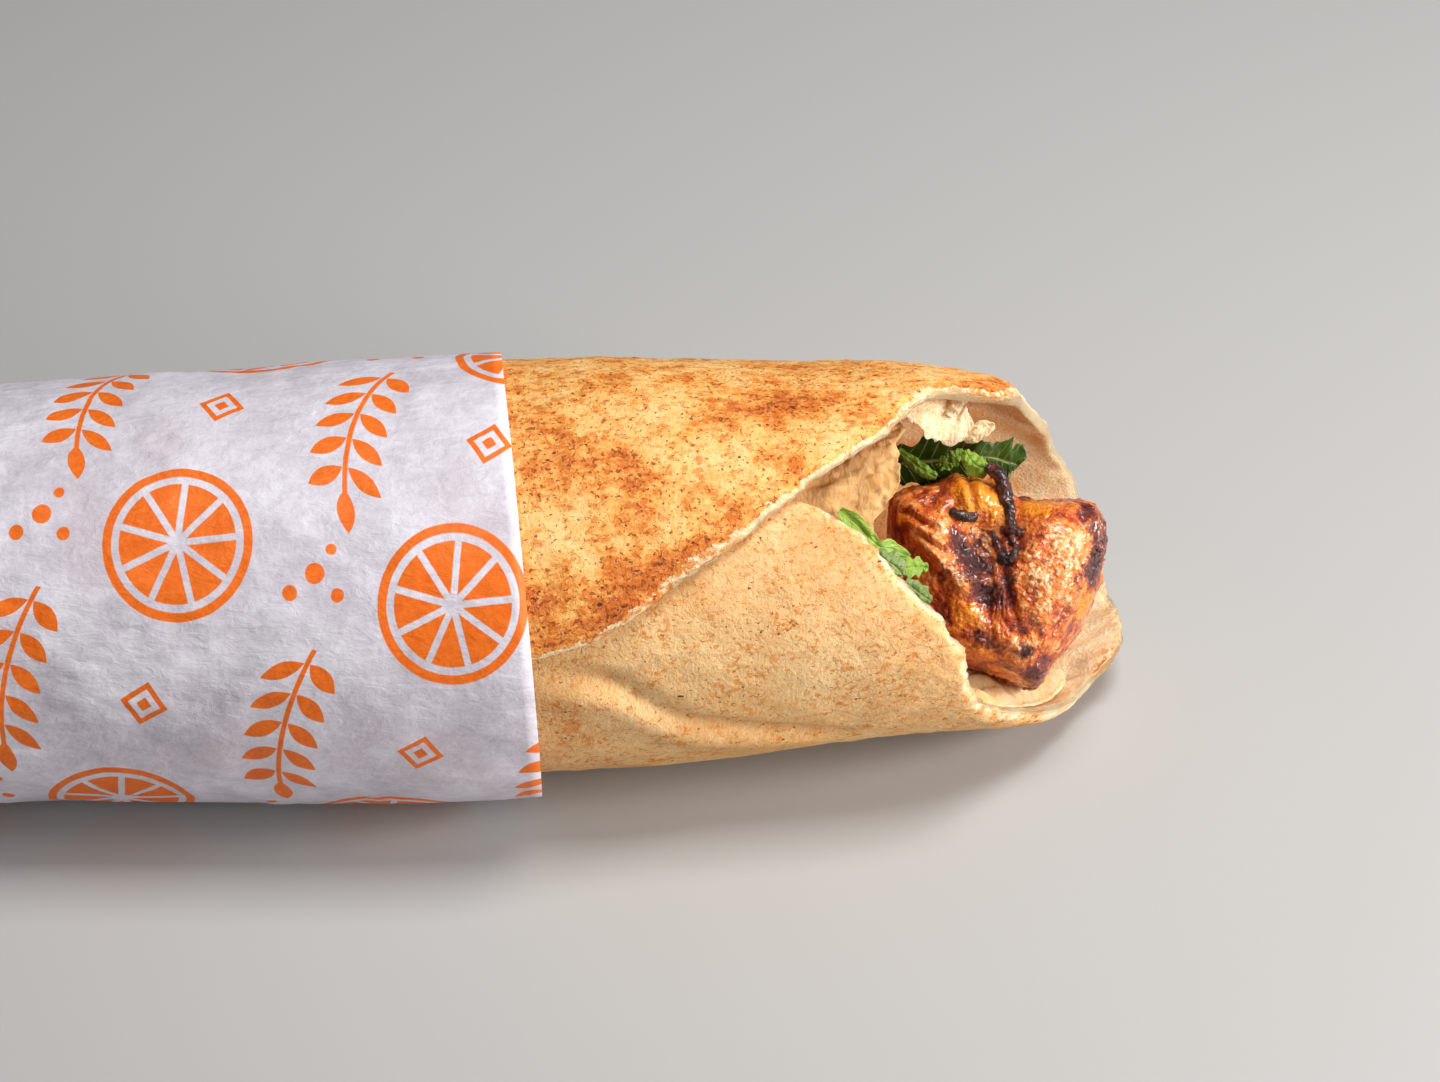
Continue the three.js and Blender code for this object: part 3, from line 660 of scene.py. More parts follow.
def either(joined, *more):
    """A mask that is 1 where any of these is."""
    for mask in more:
        joined = joined.math("MAXIMUM", joined, mask)
    return joined


def tile(value, period, shift=0.0):
    """A coordinate that starts anew in every period, from -period/2 to period/2."""
    return value.math("WRAP", value + shift, period / 2, -period / 2)


def ring_of(distance, outer, inner):
    return inside_of(distance, outer) * (1 - inside_of(distance, inner))


def fruit_slice(x, y, radius=9.6, segments=9):
    away = (x * x + y * y) ** 0.5
    turn = tile(x.math("ARCTAN2", y, x), 2 * math.pi / segments, 0.3)
    spoke = abs(away * turn.math("SINE", turn))
    flesh = inside_of(away, radius - 2.1) * (1 - inside_of(spoke, 0.42)) * (1 - inside_of(away, 1.1))
    return either(flesh, ring_of(away, radius, radius - 1.15))


def leaf_shape(x, y, centre, tilt, length, width):
    c, s = math.cos(tilt), math.sin(tilt)
    along = (x - centre[0]) * c + (y - centre[1]) * s
    across = (y - centre[1]) * c - (x - centre[0]) * s
    return inside_of(abs(across) / width + (along / length) ** 2, 1.0, 0.05)


def sprig(x, y, pairs=5, spacing=4.2):
    half = pairs * spacing / 2
    bend = x - y * y * 0.014
    side = abs(bend)
    stem = inside_of(side, 0.34) * inside_of(abs(y), half + 1.2)
    leaves = leaf_shape(side, tile(y, spacing), (2.6, 0.1), 0.6, 2.7, 1.1) * inside_of(abs(y), half)
    tip = leaf_shape(bend, y, (0.0, half + 1.9), math.pi / 2, 2.6, 1.2)
    return either(stem, leaves, tip)


def dots(x, y):
    drops = []
    for at_x, at_y, radius in ((0, 0, 1.25), (3.4, 1.9, 0.85), (-2.6, 2.9, 0.95), (1.4, -3.2, 0.7)):
        drops.append(inside_of(((x - at_x) ** 2 + (y - at_y) ** 2) ** 0.5, radius))
    return either(*drops)


def diamond(x, y):
    reach = abs(x) + abs(y)
    return either(ring_of(reach, 3.1, 2.1), inside_of(reach, 1.0))


PRINT_LEAN = 14 * DEG
TILE_X, TILE_Y = 36.0, 41.0
SHIFT_X, SHIFT_Y = 7.0, 12.0


def paper_finish():
    finish = Finish("printed paper", Specular_IOR_Level=0.35)
    flat = finish.place("flat")
    across, down = flat.part(0), flat.part(1)
    wobble = (flat.noise(2.2, 2.0) - 0.5) * 0.12
    x = across * math.cos(PRINT_LEAN) + down * math.sin(PRINT_LEAN) + wobble
    y = down * math.cos(PRINT_LEAN) - across * math.sin(PRINT_LEAN) + wobble
    x_here, x_between = tile(x, TILE_X, SHIFT_X), tile(x, TILE_X, SHIFT_X + TILE_X / 2)
    y_here, y_between = tile(y, TILE_Y, SHIFT_Y), tile(y, TILE_Y, SHIFT_Y + TILE_Y / 2)
    printed = either(fruit_slice(x_here, y_here), sprig(x_between, y_between), dots(x_between, y_here),
                     diamond(x_here, y_between))
    clouds = flat.noise(13.0, 4.0, 0.6)
    fibres = flat.scaled(0.45).noise(1.3, 5.0, 0.65, 0.6)
    specks = flat.noise(0.5, 2.0)
    white = (clouds * 0.65 + fibres * 0.35).between(0.3, 0.7).mixed("c7c0cc", "ebe7f3")
    grease = flat.scaled(shift=(40, 11, 0)).noise(24.0, 3.0, 0.55).between(0.52, 0.72)
    white = (grease * 0.35).mixed(white, "d6c4ca")
    ink = (fibres * 0.6 + specks * 0.4).between(0.25, 0.75).mixed("ec6611", "fa7f25")
    colour = (printed * (specks.between(0.18, 0.34) * 0.25 + 0.75)).mixed(white, ink)
    height = fibres * 0.5 + clouds * 1.6 + specks * 0.08
    return finish.set(colour, 0.56 - grease * 0.1 - printed * 0.06, height, 0.35)


PAPER = paper_finish()

# %% [markdown]
# ## The paper sleeve
#
# One sheet is wrapped a little more than once round the roll, so its free edge lies over itself along
# the back, then it is drawn together behind the roll and twisted shut. Its grid goes once round in
# columns and along the roll in rows. The gathers are waves round the tube that deepen towards the
# neck and open out again in the tail. Shallow dents and sharp creases keep the long part from
# looking like a tin.

# %% The paper sleeve
SLEEVE_X, SLEEVE_BOW, SLEEVE_SKEW, SLEEVE_SLACK = 24.2, 0.9, 2.0, 1.0
GAP, CAD_PAPER_T, PAPER_T = 0.35, 0.6, 0.12
TAIL_X, NECK_X, SHOULDER_X = -108, -94, -75.5
NECK_RADIUS, TAIL_FLARE, NECK_Z = 4.4, 6.5, 20
WRAP_START, WRAP_TURN = 250, 385  # roll angle of the inner end, and the whole turn with its overlap


def bread_reach(angle):
    """The lift of the outermost bread at any angle, with the flap's edge smoothed over."""
    under = lerp(spiral_lift(84), spiral_lift(-180), smooth(angle, 84, 180))
    return np.where(angle <= 84, spiral_lift(angle), under)


def sleeve_point(x, angle, depth):
    slack = SLEEVE_SLACK * hump(angle, 128, 30) * (0.35 + 0.65 * smooth(x, -60, 20))
    point = oval_point(x, angle, bread_reach(angle) + GAP + CAD_PAPER_T + slack - depth)
    point[..., 2] = np.maximum(point[..., 2], depth)
    return point


def tail_point(x, angle, depth):
    """The sleeve from its cut edge to the twisted tail."""
    point = sleeve_point(x, angle, depth)
    drawn = smooth(-x, -SHOULDER_X, -NECK_X)
    flare = smooth(-x, -NECK_X, -TAIL_X)
    twist = angle + 4 * (x - NECK_X)
    fine = 0.35 * np.cos(23 * twist * DEG + 1.3) + 0.2 * np.cos(37 * twist * DEG)
    pleat = 1 + (0.38 * np.cos(9 * twist * DEG) + 0.28 * fine) * drawn
    radius = (NECK_RADIUS + TAIL_FLARE * flare) * pleat - depth
    gather = 0.9 * smooth(drawn, 0.0, 0.25) * (1 - drawn) * (np.cos(18 * twist * DEG) + fine)
    radius = radius + 2 * gather
    point[..., 0] = x - 1.2 * flare * np.cos(4 * angle * DEG) * smooth(-x, 104, 108)
    point[..., 1] = lerp(point[..., 1], axis_y(x) - radius * np.sin(angle * DEG), drawn)
    z = lerp(point[..., 2], NECK_Z - 5 * flare + 0.8 * radius * np.cos(angle * DEG), drawn)
    point[..., 2] = np.maximum(z, depth)
    return point


def paper_sheet(columns=330, tail_rows=46, roll_rows=67):
    turn = np.linspace(0, WRAP_TURN, columns)[:, None]
    angle = WRAP_START - turn
    angle = np.where(angle > 180, angle - 360, angle)
    lean = (52 - angle) * DEG
    edge_x = SLEEVE_X + SLEEVE_BOW * np.cos(lean) - SLEEVE_SKEW * np.sin(lean)
    share = np.concatenate([np.linspace(0, 1, tail_rows), 1 + np.linspace(0, 1, roll_rows)[1:]])
    x = np.where(share <= 1, lerp(TAIL_X + 0.8, SHOULDER_X, share), lerp(SHOULDER_X, edge_x, share - 1))
    flat = flat_of(x, round_mm(turn, PAPER_ROUND))
    dents = 0.34 * lumps(flat * (0.6, 1, 1), 9, 2, 21)
    ridge = 0.5 - np.abs(lumps(flat * (0.8, 1, 1), 6.5, 2, 22))
    crease = 0.35 * np.clip(ridge, -0.2, 0.5) ** 2 * 4
    under = 1 - smooth(turn, 18, 60)
    depth = 0.16 + 0.26 * under - np.clip(dents + crease - 0.1, -0.2, 0.14) - 0.1 * smooth(x, 14, 24)
    points = both_faces(tail_point(x, angle, depth), tail_point(x, angle, depth + PAPER_T))
    mesh_piece("printed_paper_bag", points, PAPER, ["paper_sleeve"], "paper", flat=both_faces(flat))


paper_sheet()

# %% [markdown]
# ## The torn inside of the bread
#
# A pocket bread is two plies with steam-blown crumb between. Behind the flap one ply has torn loose:
# pale, dull, wrinkled like cloth, with a ragged edge. A fluffy scrap of it hangs across the top of
# the mouth, and a thin juicy fold lies in the bottom. All three share one finish, whose masks say
# where it is wet with juice, in the shade or white.

# %% The finish of the bread's inside


def crumb_finish():
    finish = Finish("torn crumb", Specular_IOR_Level=0.25, Subsurface_Weight=0.3,
                    Subsurface_Radius=(1.0, 0.6, 0.35), Subsurface_Scale=0.002)
    flat = finish.place("flat")
    juice, shade, white = finish.masks("juice", "shade", "white")
    clouds = flat.noise(4.5, 4.0, 0.6)
    wrinkle = flat.scaled(1.0, 0.55).noise(1.4, 5.0, 0.62, 0.8)
    grain = flat.noise(0.4, 3.0, 0.6)
    colour = (clouds * 0.55 + wrinkle * 0.45).between(0.32, 0.68).mixed("c08c52", "e6bc84")
    colour = (shade * 0.75).mixed(colour, "b98647")
    moved = flat.scaled(shift=(5, 3, 0))
    picked = finish.node("SeparateColor", None, {0: moved.cells(3.4, output=1)})
    fleck = (1 - moved.cells(3.4).between(0.05, 0.22)) * picked.between(0.55, 0.75)
    colour = (fleck * 0.7).mixed(colour, "b0682c")
    wet = (clouds * 0.6 + wrinkle * 0.5).between(0.38, 0.68).mixed("f9bd78", "ffe3b4")
    fluffy = (wrinkle * 0.6 + grain * 0.4).between(0.3, 0.62).mixed("d9a871", "ffe6c0")
    colour = white.mixed(colour, fluffy)
    colour = juice.between(0.05, 0.6).mixed(colour, wet)
    colour = (juice.between(0.75, 1.0) * (grain * 0.5 + 0.5)).mixed(colour, "dd6f22")
    height = wrinkle * 0.9 + grain * 0.2 + white * (grain * 0.5 + clouds)
    return finish.set(colour, 0.84 - juice.between(0.0, 0.6) * 0.42, height, 0.5)


CRUMB = crumb_finish()

# %% The inner ply
PLY_T = 1.3
ply_edge = curve([  # roll angle, X of its torn edge
    [-75, 58], [-40, 68], [-18, 75.2], [-10.8, 75.8], [-2.8, 75.8], [6.5, 74.4], [16.5, 75.1],
    [24.4, 74.1], [29.9, 72.5], [41.3, 70.9], [60, 66], [100, 56],
])


def inner_ply(columns=260, rows=80):
    angle = np.linspace(-75, 100, columns)[:, None]
    share = 1 - (1 - np.linspace(0, 1, rows)) ** 2.4
    around = round_mm(angle, PLY_ROUND)
    edge = ply_edge(angle) + 0.7 * lumps(flat_of(around, 0), 2.6, 4, 31) - 0.4
    x = lerp(BREAD_REAR_X + 4, edge, share)
    flat = flat_of(x, around)
    skew = flat_of(x * 0.5 + around * 0.5, around - x * 0.4, 2)
    wrinkles = 1.2 * (np.abs(lumps(skew, 3.2, 2, 32)) - 0.4) + 0.25 * lumps(flat, 0.9, 2, 33)
    lift = -3.4 - 3.4 * smooth(angle, 12, 50) * smooth(x, 58, 70) + wrinkles * smooth(x, 56, 64)
    thin = PLY_T * (1 - 0.65 * smooth(share, 0.97, 1))
    points = both_faces(roll_point(x, angle, lift), roll_point(x, angle, lift - thin))
    shade = smooth(angle, 20, 62) * smooth(-x, -72, -60)
    mesh_piece("torn_inner_ply", points, CRUMB, ["bread_inner_ply"], "bread_inside", flat=both_faces(flat),
               juice=0, shade=both_faces(shade))


inner_ply()

# %% The juicy fold
FOLD_T = 0.9
fold_edge = curve([  # roll angle, X of its edge
    [-262, 80], [-248, 83], [-236, 88], [-224, 92.6], [-215, 94.8], [-205, 97.6], [-195, 99], [-186, 97],
])


def juicy_fold(columns=150, rows=44):
    angle = np.linspace(-262, -186, columns)[:, None]
    share = np.linspace(0, 1, rows)
    around = round_mm(angle, PLY_ROUND)
    x = lerp(77, fold_edge(angle) + 0.5 * lumps(flat_of(around, 0), 3, 3, 41), share)
    flat = flat_of(x, around)
    pleats = np.abs(np.sin(angle * 0.3 + x * 0.22)) + 0.5 * np.abs(np.sin(angle * 0.47 - x * 0.3 + 1))
    behind = (1 - share) * (1 - 0.9 * smooth(angle, -202, -187))
    depth = BREAD_T + 0.2 + (0.4 + 1.1 * pleats) * smooth(behind, 0, 0.3) - spiral_lift(-220)
    depth = depth + 5.4 * smooth(behind, 0.03, 0.5) * smooth(angle, -238, -208)
    depth = depth + 0.12 * lumps(flat, 1.2, 2, 42)
    thin = FOLD_T * (1 - 0.6 * smooth(share, 0.9, 1))
    points = both_faces(roll_point(x, angle, -depth), roll_point(x, angle, -depth - thin))
    juice = 0.46 + 0.5 * hump(angle, -193, 7) * hump(x, 96, 5) + 0.25 * smooth(pleats, 0.5, 0.1)
    juice = np.clip(juice + 0.2 * lumps(flat, 3, 2, 43), 0, 1)
    mesh_piece("juice_soaked_fold", points, CRUMB, ["bread_soaked_fold"], "bread_soaked",
               flat=both_faces(flat), juice=both_faces(juice), shade=0)


juicy_fold()

# %% [markdown]
# ## The mouth's own frame
#
# What lies in the mouth is placed as the viewer sees it: x to the right, y up in view, z towards the
# viewer, round one station of the roll. Leaves and shreds are strips along a row of stations, each
# with its place, half width and slope across.

# %% Strips and sticks in the mouth
MOUTH_X, VIEW_TILT = 89, 52 * DEG
MOUTH_CENTRE = Vector((MOUTH_X, axis_y(MOUTH_X), axis_z(MOUTH_X))) * MM
MOUTH = Matrix.Translation(MOUTH_CENTRE) @ Matrix.Rotation(VIEW_TILT, 4, "X")


def stations_of(rows):
    """Smooth curves through the stations' columns, over 0 to 1."""
    numbered = [[i / (len(rows) - 1), *row] for i, row in enumerate(rows)]
    return [curve(numbered, column) for column in range(1, len(numbered[0]))]


def strip_points(stations, thickness, columns, rows, relief):
    """A thin strip. relief(u, v) gives a change of half width and a lift of its middle."""
    x, y, z, half, slope = stations_of(stations)
    u = np.linspace(0, 1, columns)[:, None]
    v = np.linspace(-1, 1, rows)[None, :]
    dx, dy = x(u + 0.01) - x(u - 0.01), y(u + 0.01) - y(u - 0.01)
    length = np.hypot(dx, dy)
    widen, lift = relief(u, v)
    across = v * half(u) * widen
    thin = thickness / 2 * (1 - 0.75 * np.abs(v) ** 3)
    middle_x, middle_y = x(u) - across * dy / length, y(u) + across * dx / length
    middle = flat_of(middle_x, middle_y, z(u) + across * slope(u) + lift)
    half_thick = thin[..., None] * np.array([0, 0, 1.0])
    return both_faces(middle + half_thick, middle - half_thick), both_faces(flat_of(u * 10, v))


def stick_points(stations, columns, rows, rough, seed):
    """A lumpy stick, as rings and two end points."""
    x, y, z, radius = stations_of(stations)

    def centre_at(v):
        return flat_of(x(v), y(v), z(v))

    def unit(vector):
        return vector / np.linalg.norm(vector, axis=-1, keepdims=True)

    v = np.linspace(0.002, 0.998, rows)[:, None]
    turn = np.linspace(0, 2 * math.pi, columns, endpoint=False)[None, :]
    centre = centre_at(v)
    ahead = unit(centre_at(v + 0.03) - centre_at(v - 0.03))
    side = unit(np.stack([-ahead[..., 1], ahead[..., 0], 0 * ahead[..., 0]], -1))
    top = np.cross(ahead, side)
    reach = radius(v) * (1 - (2 * v - 1) ** 8) ** 0.4
    ring = side * np.cos(turn)[..., None] + top * np.sin(turn)[..., None]
    lumpy = 1 + rough * lumps(centre + ring * 0.8 * reach[..., None], 0.9, 3, seed)
    points = centre + ring * (reach * lumpy)[..., None]
    return np.concatenate([points.reshape(-1, 3), centre[0], centre[-1]])


print("mouth frame at", [round(c * 1000, 1) for c in MOUTH.translation])

# %% The torn scrap
TORN_STRIP = [  # stations: x, y, z, half width, slope across
    [-13.9, 19.8, 12.6, 0.7, -0.2], [-12.0, 19.7, 11.6, 1.2, -0.5], [-9.9, 19.6, 9.8, 2.0, -0.6],
    [-8.3, 18.8, 8.8, 2.4, -0.6], [-7.0, 18.1, 8.4, 2.3, -0.4], [-5.8, 17.4, 8.0, 1.9, -0.2],
    [-4.6, 16.9, 7.8, 1.2, 0], [-3.4, 16.6, 7.6, 0.8, 0], [-2.1, 17.2, 7.4, 0.7, 0],
    [-0.7, 17.5, 7.2, 0.3, 0],
]
TORN_BRIDGE = [
    [-7.0, 18.9, 8.4, 0.5, 0], [-6.1, 20.2, 7.6, 0.7, 0], [-5.1, 20.9, 6.2, 0.5, 0],
    [-3.5, 21.4, 4.4, 0.4, 0], [-2.1, 21.2, 3.6, 0.4, 0],
]


def torn_scrap(name, stations, columns, rows, nodes):
    def relief(u, v):
        frayed = 1.5 + 0.35 * lumps(flat_of(u * 14, np.sign(v)), 1.3, 3, 51) * np.abs(v) ** 2
        return frayed, 0.5 * lumps(flat_of(u * 14, v * 1.5), 1.6, 3, 52) + 0.3 * (1 - v**2)

    points, _ = strip_points(stations, 0.9, columns, rows, relief)
    mesh_piece(name, points, CRUMB, nodes, "bread_inside", MOUTH, flat=points, juice=0, shade=0, white=1)


torn_scrap("torn_scrap", TORN_STRIP, 130, 30, ["bread_torn_strip"])
torn_scrap("torn_scrap_bridge", TORN_BRIDGE, 70, 16, [])

# %% [markdown]
# ## The finish of grilled chicken
#
# The meat was marinated with oil and red spice and grilled hard, so it is orange and pink where
# bare, yellow where the fat shows, brown-red where the glaze caught and purple-black on its edges.
# Oil over all of it gives the sharp small highlights, so the coat is smooth and the relief below it
# fine. The pale plate is bubbled like foam, and its pale pink patches are partly the meat's own colour
# and partly a painted highlight. The masks say how burnt, how pale, how yellow and how light in tone
# each place is, and noise breaks them up. The tone is painted light on raised knots and painted shade
# in splits and threads.

# %% The finish of grilled chicken


def chicken_finish():
    finish = Finish("grilled chicken", Specular_IOR_Level=0.5, Coat_Roughness=0.09, Coat_IOR=1.45,
                    Subsurface_Weight=0.12, Subsurface_Radius=(1.0, 0.35, 0.15), Subsurface_Scale=0.0018)
    place = finish.place("place")
    # the fourth mask is painted light on raised knots and painted shade in splits and threads; it lightens
    # the level and the yellow and holds back the scorch
    burnt, pale, fat, tone = finish.masks("burnt", "pale", "fat", "tone")
    patches = place.noise(2.6, 4.0, 0.6, 0.5)
    fine = place.noise(0.7, 4.0, 0.65, 0.3)
    grain = place.noise(0.28, 2.0, 0.5)
    fibres = place.scaled(1.0, 0.35).noise(0.8, 3.0, 0.6, 1.2)
    bent = place.noise(1.1, 2.0, output=1).scaled(0.8, 0.8, 0.8, place)
    blister = bent.cells(0.85).between(0.1, 0.6, 1.0, 0.0)
    # the pale mask lightens the level: partly the meat's own pale colour, partly painted highlight
    level = 0.5 + (patches - 0.5) * 1.2 + (fine - 0.5) * 0.9 + pale * 0.25 + tone * 0.6
    colour = level.ramp((0.0, "5c1604"), (0.22, "a33406"), (0.42, "d25a0c"), (0.6, "ea7d24"),
                        (0.82, "faa258"), (1.0, "ffcf9e"))
    # cream-pink bubbles where the plate is pale: partly painted highlight
    bubbled_and_highlit = (pale * 0.9 + (blister - 0.5) * 0.8 + (fine - 0.5) * 0.9).between(0.35, 0.8)
    colour = (bubbled_and_highlit * 0.85).mixed(colour, "ffc48a")
    glaze = place.scaled(shift=(9, 4, 2)).noise(1.2, 2.0, 0.5).between(0.585, 0.66)
    colour = (glaze * 0.75).mixed(colour, "9a2c08")
    yellow = (fibres * 0.6 + patches * 0.4 + tone * 0.4).between(0.25, 0.6).mixed("c64a04", "ff9a16")
    colour = (fat + (fine - 0.5) * 0.8 + tone * 0.5).between(0.3, 0.7).mixed(colour, yellow)
    scorch = burnt + (patches - 0.5) * 0.9 + (fine - 0.5) * 1.2 - tone * 0.5
    colour = (scorch.between(0.26, 0.55) * 0.9).mixed(colour, "7c1f08")
    colour = scorch.between(0.5, 0.85).mixed(colour, "4c120e")
    colour = scorch.between(0.95, 1.25).mixed(colour, "1e0b07")
    height = fine * 0.55 + grain * 0.42 + fibres * 0.3 + blister * 0.3
    gloss = (1.0 - scorch.between(0.9, 1.2) * 0.5) * grain.between(0.3, 0.5, 0.5, 1.0)
    rough = 0.42 + (grain - 0.5) * 0.2 + scorch.between(0.8, 1.2) * 0.1
    return finish.set(colour, rough, height, 0.5, Coat_Weight=gloss)


CHICKEN = chicken_finish()

# %% [markdown]
# ## The piece of chicken in the mouth
#
# It is one cube of breast, swollen and split by the heat: a smooth plate on the right, knotty lobes
# round a dark hollow on the left. Its outline comes from a table of radii by direction, its front
# from a sum of soft lobes and hollows, and noise adds knots, threads and blisters. What lifts a knot
# also lightens its colour, and splits and threads darken it: painted light and shade that follow the
# relief. Burnt places are crusty, so colour and relief agree.

# %% The piece of chicken
CHUNK = MOUTH @ Matrix.Translation(Vector((-0.1, -3.3, 3.5)) * MM)
chunk_radius = curve([  # direction in degrees, radius
    [-14, 12.6], [0, 13.6], [20, 15.1], [34, 15.9], [43, 15.2], [56, 12.8], [69, 11.6], [79, 11.4],
    [88, 13], [97, 13.6], [104, 14.2], [112, 15.4], [123, 15.9], [131, 16.8], [139, 18.0], [150, 17.4],
    [166, 15.4], [200, 13.5], [225, 13], [243, 12.6], [259, 12.6], [274, 13.7], [285, 15.2],
    [299, 13.4], [318, 12.6], [332, 12.2], [346, 12.6], [360, 13.6],
])
# The tables below are for spots. LOBES and KNOTS lift the surface, the others say how it looks.
LOBES = [
    (-8.5, 3.5, 5.5, 6.5, 2.4), (-7, 12, 4, 3, 1), (-2.4, 12.6, 2.6, 2.6, 1.8), (6.5, -0.5, 7, 8, 2.2),
    (-3.5, 5.6, 3.2, 3.6, -3.6), (-3, -3.5, 1.8, 5, -1.0), (1.5, 9.5, 2, 3.5, -1.6), (12, 4, 3, 6, -1.5),
]
KNOTS = [
    (-5.2, 11.8, 0.9, 2.4, 12, 1.1), (-3.1, 11.9, 0.8, 2.0, -8, 0.9), (-4.1, 11.6, 0.35, 2.2, 6, -1.0),
    (-11.5, 9.5, 3.4, 0.9, -32, 1.3), (-10.6, 6.8, 3.6, 0.8, -38, 1.2), (-9.2, 3.8, 3.8, 0.8, -44, 1.2),
    (-11.2, 8.1, 2.6, 0.35, -35, -0.7), (-10.0, 5.2, 2.2, 0.4, -42, -0.9), (-8.0, 1.6, 3.4, 0.7, -48, 0.9),
    (-4.6, 1.0, 2.2, 1.2, -35, 0.9), (-3.2, -1.6, 1.0, 2.4, 10, -0.4), (-2.0, -6.2, 3.8, 1.0, -38, 0.8),
    (0.2, -1.5, 0.5, 4.2, 14, -0.9), (3.2, 3.6, 2.6, 1.0, 40, 0.6), (5.5, -3.2, 4.2, 1.6, 32, 0.6),
    (8.4, 4.4, 2.2, 2.2, 0, 0.5), (6.2, 8.4, 1.8, 1.4, 20, 0.6), (11.4, 6.4, 1.2, 3.4, -20, 0.9),
    (2.2, 7.6, 0.5, 2.6, -6, -0.9), (4.0, -8.6, 3.0, 1.3, 30, 0.5), (1.0, -11.2, 2.2, 1.0, -42, 0.6),
]
BURNT = [
    (-6.2, 5.2, 2.2, 2.2, 0.6), (-4.2, 1.8, 3.2, 3.0, 0.9), (-2.4, -2.2, 2.0, 2.8, 0.7),
    (-2.6, 6.2, 2.4, 2.0, 0.5), (13.2, 5.6, 2.5, 5.2, 1.45), (11.6, 1.2, 1.8, 3.0, 0.75),
    (12.8, 10.6, 1.8, 1.6, 0.7), (-3.8, -7.2, 1.7, 1.1, 0.9), (0.2, -11.6, 1.4, 0.9, 0.6),
    (2.2, -9.2, 1.1, 0.9, 0.75), (4.4, -13.2, 2.4, 2.2, 0.75), (3.4, -10.6, 3.4, 2.4, 0.36),
    (-1.8, -8.8, 3.6, 1.0, 0.5), (-12.8, 9.8, 2.0, 1.8, 0.55), (-10.6, 11.6, 2.0, 1.0, 0.6),
    (-3.2, 14.6, 3.4, 0.9, 0.7), (7.0, 11.2, 3.4, 0.8, 0.5), (-14.0, 5.5, 1.4, 3.4, 0.4),
    (3.4, 4.5, 1.8, 1.0, 0.45), (9.4, -2.2, 1.0, 3.6, 0.3), (-8.6, 1.2, 1.2, 1.6, 0.4),
    (0.4, 1.0, 1.0, 2.2, 0.5), (-9.0, 7.4, 2.4, 0.7, 0.4),
]
# pale pink places, mostly on the plate: partly the meat's own colour, partly painted highlight
PALE_AND_HIGHLIT = [
    (5.4, -2.6, 4.4, 3.6, 0.85), (4.0, 1.2, 2.6, 2.0, 0.7), (6.6, 5.6, 3.6, 3.4, 0.5),
    (-9.8, 4.4, 2.4, 2.0, 0.5), (-6.8, -0.4, 1.6, 1.8, 0.4), (-10.6, 9.8, 2.0, 1.6, 0.35),
    (5.4, -7.2, 3.0, 2.4, 0.3),
]
FAT = [
    (-4.4, 11.6, 2.6, 2.6, 0.95), (-1.4, 9.8, 1.4, 2.0, 0.8), (4.4, 9.4, 2.4, 1.6, 0.85),
    (-6.2, -4.6, 2.2, 3.0, 0.9), (-3.4, -9.9, 3.2, 1.4, 0.9), (-11.8, 3.0, 1.6, 3.6, 0.6),
    (10.6, -3.6, 1.4, 3.6, 0.8), (0.6, 5.4, 1.0, 2.0, 0.4), (-13.6, 8.6, 1.4, 1.2, 0.6),
]


def chunk_front(x, y):
    """The height of its front: lobes and hollows, cut away at the lower left."""
    lower_left = -0.589 * (x + 9) - 0.808 * (y + 5.5)
    return 8.8 + spots(LOBES, x, y) - 4.5 * smooth(lower_left, -0.5, 3.5)


